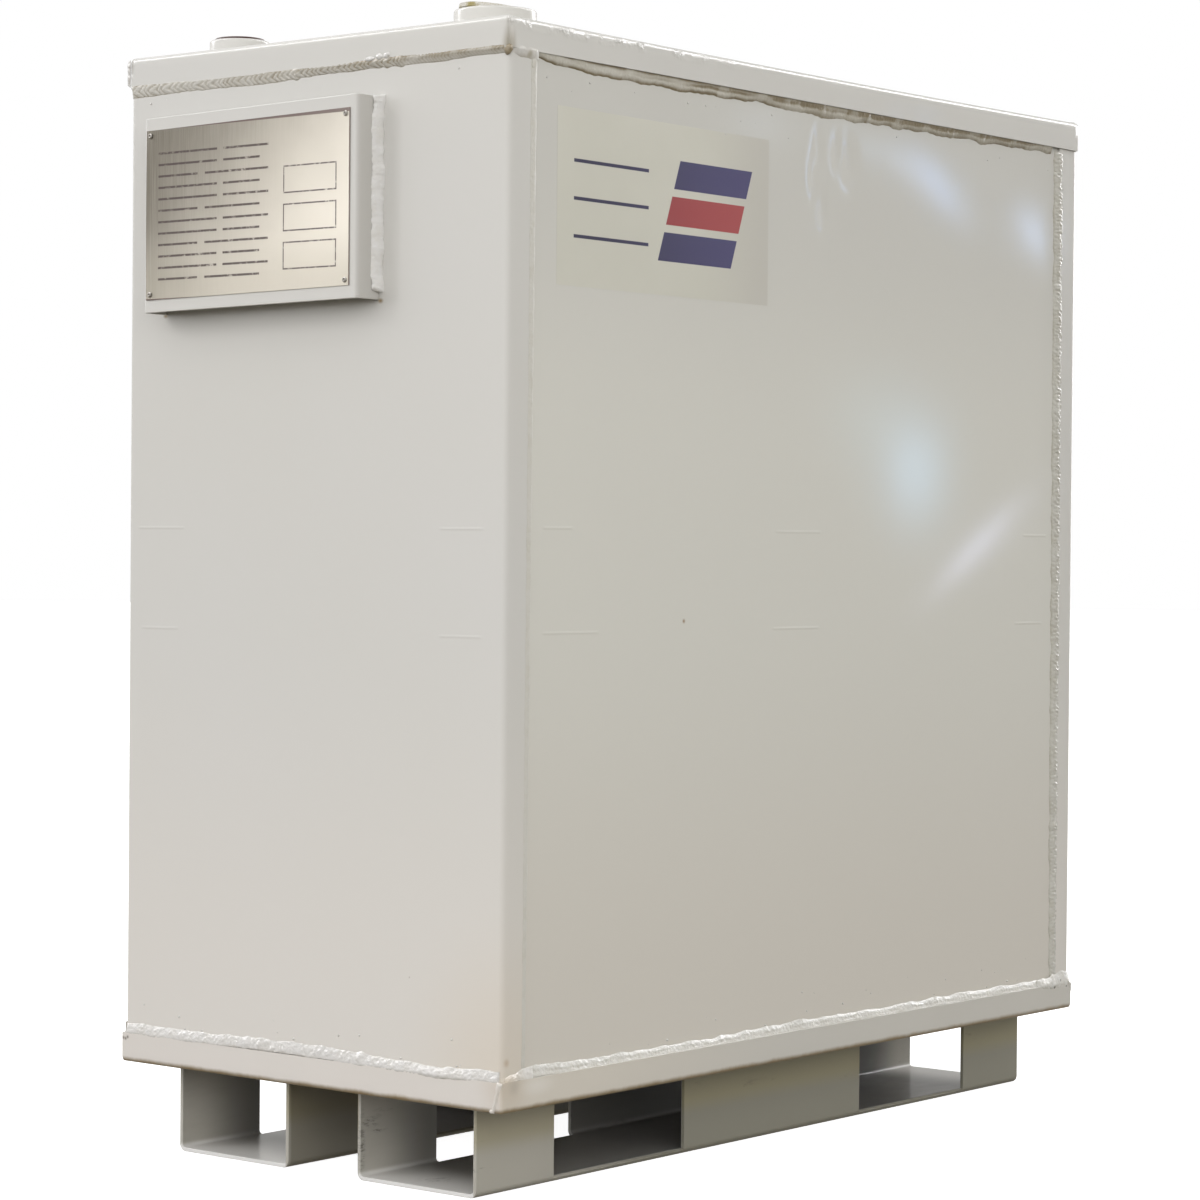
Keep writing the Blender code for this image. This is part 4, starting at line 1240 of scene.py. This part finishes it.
def make_bracket(paint, weld):
    """The folded stand-off sheet and the fillet beads down its two legs."""
    low, high = BRACKET_LOW, BRACKET_HIGH
    corners = [(low[0], high[1]), (low[0], low[1]), (high[0], low[1]), (high[0], high[1])]
    points, _, _ = rounded_path(corners, 6 * MM, 8 * MM)
    heights = steps_between(low[2], high[2], COARSE)
    grid = np.empty((len(points), len(heights), 3))
    grid[..., 0:2] = points[:, None, :]
    grid[..., 2] = heights[None, :] + leaned(points[:, None, 0])
    mesh = grid_mesh("bracket", grid)
    made = piece("nameplate_bracket_sheet", mesh, paint, "nameplate_bracket")
    solidify(made, SHEET)
    soften_edges(made, 1.0 * MM, 3)
    for side, x, sign in (("left", low[0], -1.0), ("right", high[0], 1.0)):
        bead = Bead(900 + int(sign), high[2] - low[2] - 6 * MM, ((0, 0.0, 6.0),), 2.4 * MM, step=14.5 * MM,
                    pitch=7 * MM, ripple=0.25 * MM, rough=0.50 * MM, uneven=1.4 * MM, taper=4 * MM,
                    lumps=((0.231, 1.2),), hollow_shade=0.0, toes=0.1)
        lines = ((x, FRONT_Y, low[2] + 8 * MM + leaned(x)), (0, 0, 1), (0, -1, 0), (sign, 0, 0))
        name = f"bracket_{side}_weld"
        add_bead(name, bead, lines, weld, name)


def make_nameplate(metal, rivet):
    """A thin plate, slightly curled away along its left edge, held by four dome-headed rivets."""
    low, high = PLATE_LOW, PLATE_HIGH
    us = steps_between(low[0], high[0], 6 * MM)
    vs = steps_between(low[2], high[2], 6 * MM)
    grid = np.empty((len(us), len(vs), 3))
    u, v = np.meshgrid(us, vs, indexing="ij")
    middle = 0.4 + 0.6 * np.sin(math.pi * (v - low[2]) / (high[2] - low[2]))
    curl = 0.9 * MM * np.exp(-((u - low[0]) / (14 * MM)) ** 2) * middle
    sag = 0.25 * MM * smooth_field(77, 0.12, 0.4)(u, v)
    grid[..., 0] = u
    grid[..., 1] = low[1] - curl - np.maximum(sag, 0)
    grid[..., 2] = v + leaned(u)
    plate = piece("nameplate_sheet", grid_mesh("nameplate", grid), metal, "nameplate")
    solidify(plate, PLATE_SHEET)
    soften_edges(plate, 0.12 * MM)
    profile = ((0.0, 0.1), (0.9, 0.15), (1.3, 0.9), (1.9, 1.25), (2.6, 0.9), (3.3, 0.2), (3.2, -0.5),
               (0.0, -0.5))
    for corner in ("upper_left", "upper_right", "lower_left", "lower_right"):
        name = "nameplate_rivet_" + corner
        rivet_low, rivet_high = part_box(name)
        x, z = (rivet_low[0] + rivet_high[0]) / 2, (rivet_low[2] + rivet_high[2]) / 2
        base = low[1] - 1.1 * MM if "left" in corner else low[1] - 0.3 * MM
        mesh = turned_mesh(name, [(r * MM, h * MM) for r, h in profile], 20)
        upright = Matrix.Rotation(math.radians(90), 4, "X")
        mesh.transform(Matrix.Translation((x, base, z + leaned(x))) @ upright)
        piece(name + "_head", mesh, rivet, name)


def turned_mesh(name, profile, steps, relief=None):
    """A closed solid turned about Z from (radius, height) points; relief adds height to the radius."""
    profile = np.array(profile, float)
    angles = np.linspace(0, 2 * math.pi, steps, endpoint=False)
    radius = np.broadcast_to(profile[None, :, 0], (steps, len(profile))).copy()
    if relief is not None:
        radius += relief(angles[:, None], profile[None, :, 1]) * (radius > 1e-6)
    grid = np.empty((steps, len(profile), 3))
    grid[..., 0] = radius * np.cos(angles[:, None])
    grid[..., 1] = radius * np.sin(angles[:, None])
    grid[..., 2] = profile[None, :, 1]
    on_axis = profile[0, 0] == 0 and profile[-1, 0] == 0
    mesh = grid_mesh(name, grid, wrap_u=True, wrap_v=not on_axis)
    tidy_normals(mesh, 0.01 * MM)
    return mesh


def arc_profile(centre, radius, start, end, count):
    """Points of a round in a turned profile, angles in degrees from the +radius direction."""
    return [(centre[0] + radius * math.cos(math.radians(a)), centre[1] + radius * math.sin(math.radians(a)))
            for a in np.linspace(start, end, count)]


def make_port(name, paint, weld):
    """A pipe coupling: rounded rim, bored, slightly rough under its paint, with its ring bead."""
    low, high = (np.array(v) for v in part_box(name + "_port"))
    centre = (low + high) / 2
    outer = (high[0] - low[0]) / 2
    bore = outer - (5.5 * MM if "large" in name else 5.9 * MM)
    foot = low[2] - high[2]
    profile = arc_profile((bore + 1.0 * MM, -1.0 * MM), 1.0 * MM, 180, 90, 4)
    profile += arc_profile((outer - 3 * MM, -3 * MM), 3.0 * MM, 90, 0, 7)
    profile += [(outer, -8 * MM), (outer, -14 * MM), (outer, foot), (bore, foot), (bore, -12 * MM)]
    rough = smooth_field(31 + int(1000 * outer), 0.010, 0.05)
    mesh = turned_mesh(name, profile, 96, lambda a, h: 0.12 * MM * rough(a * outer, h))
    mesh.transform(Matrix.Translation((centre[0], centre[1], high[2])))
    piece(name + "_coupling", mesh, paint, name + "_port")
    around = 2 * math.pi * outer
    bead = Bead(700 + int(1e4 * outer), around, ((0, 0.0, 6.5),), 0.9 * MM, step=5.5 * MM, pitch=5 * MM,
                ripple=0.2 * MM, rough=0.15 * MM, uneven=0.6 * MM, taper=3 * MM, joints=(around * 0.45,))
    mesh = bead.mesh("ring", ring_round((centre[0], centre[1], LID_TOP - 0.2 * MM), outer))
    piece(name + "_ring_bead", mesh, weld, name + "_port_weld", 60.0)


# How far the near large plug leans, and the heading toward which it leans
LEAN_ANGLE = math.radians(6.8)
LEAN_HEADING = math.radians(218.8)


def make_plug(name, plastic):
    """A push-in cup plug with a rounded lip, a stepped floor and six stiffening ribs."""
    large = "large" in name
    port_low, port_high = (np.array(v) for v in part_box(name + "_port"))
    top_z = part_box(name + "_plug")[1][2]
    centre = (port_low + port_high) / 2
    lip = (port_high[0] - port_low[0]) / 2 - (5.9 * MM if large else 6.3 * MM)
    profile = [(0.0, -16.2 * MM), (lip - 6 * MM, -16.2 * MM), (lip - 4.2 * MM, -14.5 * MM),
               (lip - 3.4 * MM, -1.0 * MM)]
    profile += arc_profile((lip - 1.6 * MM, -1.6 * MM), 1.6 * MM, 135, 0, 6)
    profile += [(lip, -5.0 * MM), (lip - 0.5 * MM, -5.5 * MM), (lip - 1.2 * MM, -5.6 * MM),
                (lip - 2.9 * MM, -17 * MM), (lip - 3.6 * MM, -18 * MM), (0.0, -18 * MM)]
    mesh = turned_mesh(name, profile, 72)
    size = (lip - 6 * MM, 1.4 * MM, 9 * MM)
    rib = Matrix.Translation((size[0] / 2 + 1.5 * MM, 0, -11.8 * MM)) @ Matrix.Diagonal((*size, 1.0))
    with editing(mesh) as bm:
        for k in range(6):
            bmesh.ops.create_cube(bm, size=1.0, matrix=Matrix.Rotation(math.radians(60 * k), 4, "Z") @ rib)
    turn = Matrix.Identity(4)
    if name == "front_large":
        turn = Matrix.Rotation(LEAN_ANGLE, 4, Vector((math.sin(LEAN_HEADING), -math.cos(LEAN_HEADING), 0.0)))
        top_z -= lip * math.sin(LEAN_ANGLE)
    mesh.transform(Matrix.Translation((centre[0], centre[1], top_z)) @ turn)
    piece(name + "_cup_plug", mesh, plastic, name + "_plug")


def make_label(film):
    """The label: thin film with a few soft wrinkles, which follows the side sheet's waves and dents."""
    ys = steps_between(LABEL_LOW[0], LABEL_HIGH[0], 5 * MM)
    zs = steps_between(LABEL_LOW[1], LABEL_HIGH[1], 5 * MM)
    along, up = np.meshgrid(ys - NEAR_Y, zs - PAN_FOOT, indexing="ij")
    inset = SIDE_LOW[1] - NEAR_Y
    length, height = SIDE_HIGH[1] - SIDE_LOW[1], SIDE_HIGH[2] - SIDE_LOW[2]
    hold = fade_edges(along - inset, up - (SIDE_LOW[2] - PAN_FOOT), length, height, 0.07)
    wrinkles = 0.02 * MM * smooth_field(5, 0.03, 0.12)(along, up)
    grid = np.empty((len(ys), len(zs), 3))
    grid[..., 0] = SIDE_X + wall_relief(41, SIDE_DENTS)(along, up) * hold + 0.14 * MM + wrinkles
    grid[..., 1] = ys[:, None]
    grid[..., 2] = zs[None, :]
    label = piece("side_label", grid_mesh("side_label", grid), film)
    solidify(label, FILM)
    soften_edges(label, 0.03 * MM, 1)


def make_spatter(paint):
    """Small balls of weld spatter near the beads, more of them by the lower laps."""
    rng = np.random.default_rng(12)
    spots = []
    for count, side, low, high in ((16, "front", PAN_EDGE + 12 * MM, PAN_EDGE + 45 * MM),
                                   (24, "right", PAN_EDGE + 12 * MM, PAN_EDGE + 50 * MM),
                                   (4, "front", LID_TOP - 75 * MM, LID_TOP - 52 * MM),
                                   (16, "right", LID_TOP - 100 * MM, LID_TOP - 58 * MM)):
        for _ in range(count):
            away = (high - low) * rng.random() ** 2
            z = low + away if low < 0.5 else high - away
            reach = 0.27 if side == "front" else 0.54
            s = rng.uniform(-reach, reach)
            point = Vector((s, FRONT_Y, z)) if side == "front" else Vector((SIDE_X, CENTRE_Y + s, z))
            spots.append((point, rng.uniform(0.5, 1.5) * MM))
    mesh = bpy.data.meshes.new("weld_spatter")
    with editing(mesh, filled=False) as bm:
        for point, radius in spots:
            for centre in (point, half_turn() @ point):
                place = Matrix.Translation(centre)
                bmesh.ops.create_icosphere(bm, subdivisions=2, radius=radius, matrix=place)
    piece("weld_spatter", mesh, paint)


def eye():
    return Vector(CAMERA_PLACE) + Vector((0.0, CENTRE_Y, PAN_FOOT))


def make_camera():
    yaw, pitch, roll = (math.radians(a) for a in (CAMERA_YAW, CAMERA_PITCH, CAMERA_ROLL))
    back = Vector((math.sin(yaw) * math.cos(pitch), -math.cos(yaw) * math.cos(pitch), math.sin(pitch)))
    level = Vector((math.cos(yaw), math.sin(yaw), 0.0))
    rise = back.cross(level)
    right = level * math.cos(roll) + rise * math.sin(roll)
    up = rise * math.cos(roll) - level * math.sin(roll)
    camera = bpy.data.objects.new("camera", bpy.data.cameras.new("camera"))
    bpy.context.scene.collection.objects.link(camera)
    camera.matrix_world = Matrix.Translation(eye()) @ Matrix((right, up, back)).transposed().to_4x4()
    camera.data.sensor_width = SENSOR
    camera.data.lens = FOCAL_PIXELS / PHOTO_PIXELS * SENSOR
    camera.data.clip_end = 100.0
    bpy.context.scene.camera = camera


# Soft blue gleams in the label side: (y, z, half length, half height) in millimetres, lean in degrees, colour
GLEAMS = (
    (815, 735, 66, 66, 0, (1.5, 3.0, 4.6)),
    (725, 800, 85, 60, 0, (0.25, 0.65, 0.9)),
    (985, 636, 112, 13, 29, (4.6, 5.0, 7.2)),
    (868, 1108, 60, 17, -36, (3.0, 5.0, 9.0)),
    (790, 1128, 44, 13, -30, (1.9, 2.7, 4.0)),
    (700, 1138, 36, 14, -20, (1.2, 1.9, 2.8)),
    (1112, 1066, 44, 22, -44, (3.9, 5.6, 9.0)),
    (480, 1150, 60, 30, 0, (0.8, 1.0, 1.3)),
)

# Bright bands that the lid's bends mirror as thin lines: (direction, narrow axis, half width, colour)
EDGE_LIGHTS = (
    ((-0.62, -0.46, 0.63), (0.0, 0.81, 0.59), 0.10, (7.0, 7.0, 7.2)),
    ((0.34, 0.78, 0.52), (-0.81, 0.0, 0.59), 0.10, (9.0, 9.0, 9.3)),
)


def mirrored(y, z):
    """The direction that the camera sees mirrored in the label side at (y, z), in millimetres."""
    way = (Vector((SIDE_X, NEAR_Y + y * MM, PAN_FOOT + z * MM)) - eye()).normalized()
    return np.array((-way.x, way.y, way.z))


def gleam(sky, y, z, half_y, half_z, lean):
    """A soft oval of light in the world, aimed by where the label side mirrors it."""
    c, s = math.cos(math.radians(lean)), math.sin(math.radians(lean))
    centre = mirrored(y, z)
    axes = np.column_stack([mirrored(y + c * half_y, z + s * half_y) - centre,
                            mirrored(y - s * half_z, z + c * half_z) - centre])
    first, second = (sky.along(dual) - float(dual @ centre) for dual in np.linalg.pinv(axes))
    bell = sky.maths("EXPONENT", (first * first + second * second) * -1.0)
    return bell * sky.along(centre).fade(0.2, 0.6)


def make_world():
    """White to the camera. The object is lit from above, less from the right, with a dim warm floor below."""
    world = bpy.data.worlds.new("studio")
    world.use_nodes = True
    bpy.context.scene.world = world
    sky = Nodes(world.node_tree, "Generated")
    up = sky.axis(2)
    turn = sky.along((0.78, 0.63, 0.0)).fade(-0.6, 0.9)
    soft = sky.mix(turn, (1.85, 1.84, 1.91), (1.44, 1.425, 1.42))
    soft = sky.mix(up.fade(0.35, 0.7), soft, (0.62, 0.62, 0.63))
    soft = sky.mix(up.fade(0.05, -0.1), soft, (0.22, 0.195, 0.15))
    shiny = sky.mix(turn, (0.95, 0.94, 0.92), (0.42, 0.41, 0.385))
    shiny = sky.mix(up.fade(-0.15, -0.6), shiny, (0.20, 0.175, 0.13))
    lights = []
    for centre, narrow, width, colour in EDGE_LIGHTS:
        away = (sky.along(narrow) - float(np.dot(narrow, centre))) * (1.0 / width)
        bell = sky.maths("EXPONENT", away * away * -1.0)
        lights.append((bell * sky.along(centre).fade(0.70, 0.85), colour))
    lights += [(gleam(sky, *place), colour) for *place, colour in GLEAMS]
    for amount, colour in lights:
        scaled = sky.vector_maths("SCALE", colour)
        sky.put(scaled.socket.node.inputs["Scale"], amount)
        shiny = sky.vector_maths("ADD", shiny, scaled)
    path = sky.add("ShaderNodeLightPath").outputs
    seen = sky.mix(Value(sky, path["Is Glossy Ray"]), soft, shiny)
    shade = world.node_tree.nodes["Background"].inputs
    sky.put(shade["Color"], sky.mix(Value(sky, path["Is Camera Ray"]), seen, (1.0, 1.0, 1.0)))
    shade["Strength"].default_value = 1.0
    world.cycles.sampling_method = "NONE"


def floor_material():
    """Pale to the camera, dim and warm to the light that the floor throws back at the tank."""
    paint = Paint("pale_floor", (0.56, 0.56, 0.56))
    paint.tint(paint.noise(3.0, 3.0), (0.54, 0.54, 0.54))
    paint.set("Roughness", 0.9)
    paint.set("Emission Color", (1.0, 1.0, 1.0))
    paint.set("Emission Strength", paint.distance((0.0, 0.0, 0.0)).fade(1.2, 3.0) * 0.05 + 0.95)
    dim = paint.add("ShaderNodeBsdfDiffuse", {"Color": (0.115, 0.10, 0.076)})
    blend = paint.add("ShaderNodeMixShader")
    path = paint.add("ShaderNodeLightPath").outputs
    for number, socket in enumerate((path["Is Camera Ray"], dim.outputs[0], paint.shader.outputs[0])):
        paint.tree.links.new(socket, blend.inputs[number])
    paint.tree.links.new(blend.outputs[0], paint.tree.nodes["Material Output"].inputs["Surface"])
    return paint.finish()


def area_light(name, place, aim, size, power):
    lamp = bpy.data.lights.new(name, "AREA")
    lamp.shape = "RECTANGLE"
    lamp.size, lamp.size_y = size
    lamp.energy = power
    made = bpy.data.objects.new(name, lamp)
    bpy.context.scene.collection.objects.link(made)
    made.location = place
    made.rotation_euler = (Vector(place) - Vector(aim)).to_track_quat("Z", "Y").to_euler()
    made.visible_glossy = False


def make_studio():
    """Plain pale floor, soft key from the front left, a fill from the right and two strips above."""
    mesh = bpy.data.meshes.new("floor")
    with editing(mesh, filled=False) as bm:
        bmesh.ops.create_circle(bm, cap_ends=True, radius=40.0, segments=96)
    floor = bpy.data.objects.new("floor", mesh)
    bpy.context.scene.collection.objects.link(floor)
    mesh.materials.append(floor_material())
    floor.visible_glossy = False
    middle = (0.0, CENTRE_Y, 0.75)
    area_light("key", (-2.8, -4.4, 3.8), middle, (1.2, 1.2), 30.0)
    area_light("fill_right", (2.5, -2.3, 1.6), (0.3, -0.2, 0.75), (1.6, 1.6), 16.0)
    area_light("strip_near", (0.6, -2.6, 3.9), middle, (2.6, 0.10), 4.0)
    area_light("strip_right", (2.4, 0.6, 3.9), middle, (0.10, 2.6), 4.0)


def wall_materials():
    """Paints of the four walls; the rear and left ones hold the front and right marks turned half round."""
    ends = [(a * MM, b * MM, PAN_FOOT + z * MM) for a, b, z in END_MARKS]
    sides = [(a * MM, b * MM, PAN_FOOT + z * MM) for a, b, z in SIDE_MARKS]
    rust = ((SIDE_X, NEAR_Y + 0.335, PAN_FOOT + 0.545), 4)
    return {
        "front": wall_material("front_end_paint", [(LEFT_X + a, LEFT_X + b, z) for a, b, z in ends]),
        "right": wall_material("right_side_paint", [(NEAR_Y + a, NEAR_Y + b, z) for a, b, z in sides], 1,
                               (rust,)),
        "rear": wall_material("rear_end_paint", [(HALF_WIDTH - b, HALF_WIDTH - a, z) for a, b, z in ends]),
        "left": wall_material("left_side_paint", [(FAR_Y - b, FAR_Y - a, z) for a, b, z in sides], 1),
    }


def weld_materials():
    """Paints of the beads, by the kind of bead."""
    # Painted warm light from the floor round the near bottom corner, as on the walls.
    beige = (offset(BODY_CORNER_FOOT, 0, 10, 4), 32, 0.85, (0.60, 0.52, 0.41), (1.0, 1.0, 1.0))
    head = (BODY_HALF_WIDTH, FRONT_Y, LID_EDGE)
    # Painted shadow of the lid's edge: a brown band across the near fillet.
    dark = (offset(head, 0, 26, -9), 26, 0.45, (0.36, 0.31, 0.21), (1.0, 1.0, 4.0))
    # A small brown spot on the near fillet.
    brown_spot = (offset(head, 0, 33, -3), 7, 0.8, (0.30, 0.25, 0.12), (1.0, 1.0, 1.0))
    rim = weld_paint("corner_weld_paint", (0.71, 0.69, 0.64), relief=0.6, coat=0.5)
    # A lighter copy of the weld paint: painted light on a fillet that faces down.
    fillet = weld_paint("fillet_paint", (0.74, 0.725, 0.68), relief=0.3, coat=0.6)
    side_foot = weld_paint("side_foot_bead_paint", (0.675, 0.665, 0.615), coat=0.4)
    # A lighter copy of the weld paint: painted light on the bracket's welds.
    bracket = weld_paint("bracket_weld_paint", (0.80, 0.79, 0.76))
    bracket_foot = (BRACKET_HIGH[0] + 2 * MM, FRONT_Y - 4 * MM, BRACKET_LOW[2] + 8 * MM)
    paints = {
        "foot": weld_paint("weld_bead_paint", (0.665, 0.65, 0.615)),
        # A darker, browner copy of the weld paint: painted shade under the lid's edge.
        "top": weld_paint("lap_bead_paint", (0.64, 0.62, 0.56), evenness=0.6),
        "side_top": weld_paint("side_lap_bead_paint", (0.73, 0.71, 0.63), toe=0.9, evenness=0.6),
        "side_foot": pitted(side_foot, (HALF_WIDTH, FAR_Y - 20 * MM, PAN_EDGE), 48),
        "far_seam": weld_paint("far_seam_paint", (0.60, 0.59, 0.53), coat=0.6),
        "near_seam": weld_paint("near_seam_paint", (0.63, 0.615, 0.555), relief=0.6, coat=0.0),
        "ridge": weld_paint("corner_ridge_paint", (0.72, 0.68, 0.615), coat=0.5),
        "rim": tinted(rim, beige),
        "fillet": tinted(fillet, dark, brown_spot),
        # Painted shadow in the lid's near corner: a dark brown copy of the weld paint.
        "pocket": weld_paint("pocket_shade_paint", (0.30, 0.25, 0.165), coat=0.3),
        "bracket": rusty(bracket, bracket_foot, 8),
    }
    return {kind: paint.finish() for kind, paint in paints.items()}


def main():
    walls = wall_materials()
    make_end_sheet("front_end_sheet", False, walls["front"], 21)
    make_end_sheet("rear_end_sheet", True, walls["rear"], 31)
    make_side_sheet("right_side_sheet", False, walls["right"], 41, SIDE_DENTS)
    make_side_sheet("left_side_sheet", True, walls["left"], 51, ())
    make_tray("top_pan", LID_TOP, 1, lid_material(), 61, 3.6 * MM, BEND, (3.1, 3.6), (0.3, 2.6), 1.7)
    make_tray("bottom_pan", PAN_FOOT, -1, pan_material(), 71, 0.0, 3.5 * MM)
    welds = weld_materials()
    make_beads(welds)
    skid = skid_material()
    for side in ("right", "left"):
        make_skid(side, skid)
    make_bracket(bracket_material(), welds["bracket"])
    make_nameplate(nameplate_material(), rivet_material())
    port_paint = wall_material("coupling_paint")
    yellow = plastic_material("yellow_plug_plastic", (0.33, 0.27, 0.08), 0.40)
    brown = plastic_material("brown_plug_plastic", (0.060, 0.020, 0.014), 0.60)
    for name in ("front_large", "front_small", "rear_large", "rear_small"):
        make_port(name, port_paint, welds["foot"])
        make_plug(name, yellow if "large" in name else brown)
    make_label(label_material())
    make_spatter(welds["foot"])
    make_camera()
    make_world()
    make_studio()
    bpy.context.scene.view_settings.view_transform = "Standard"


main()
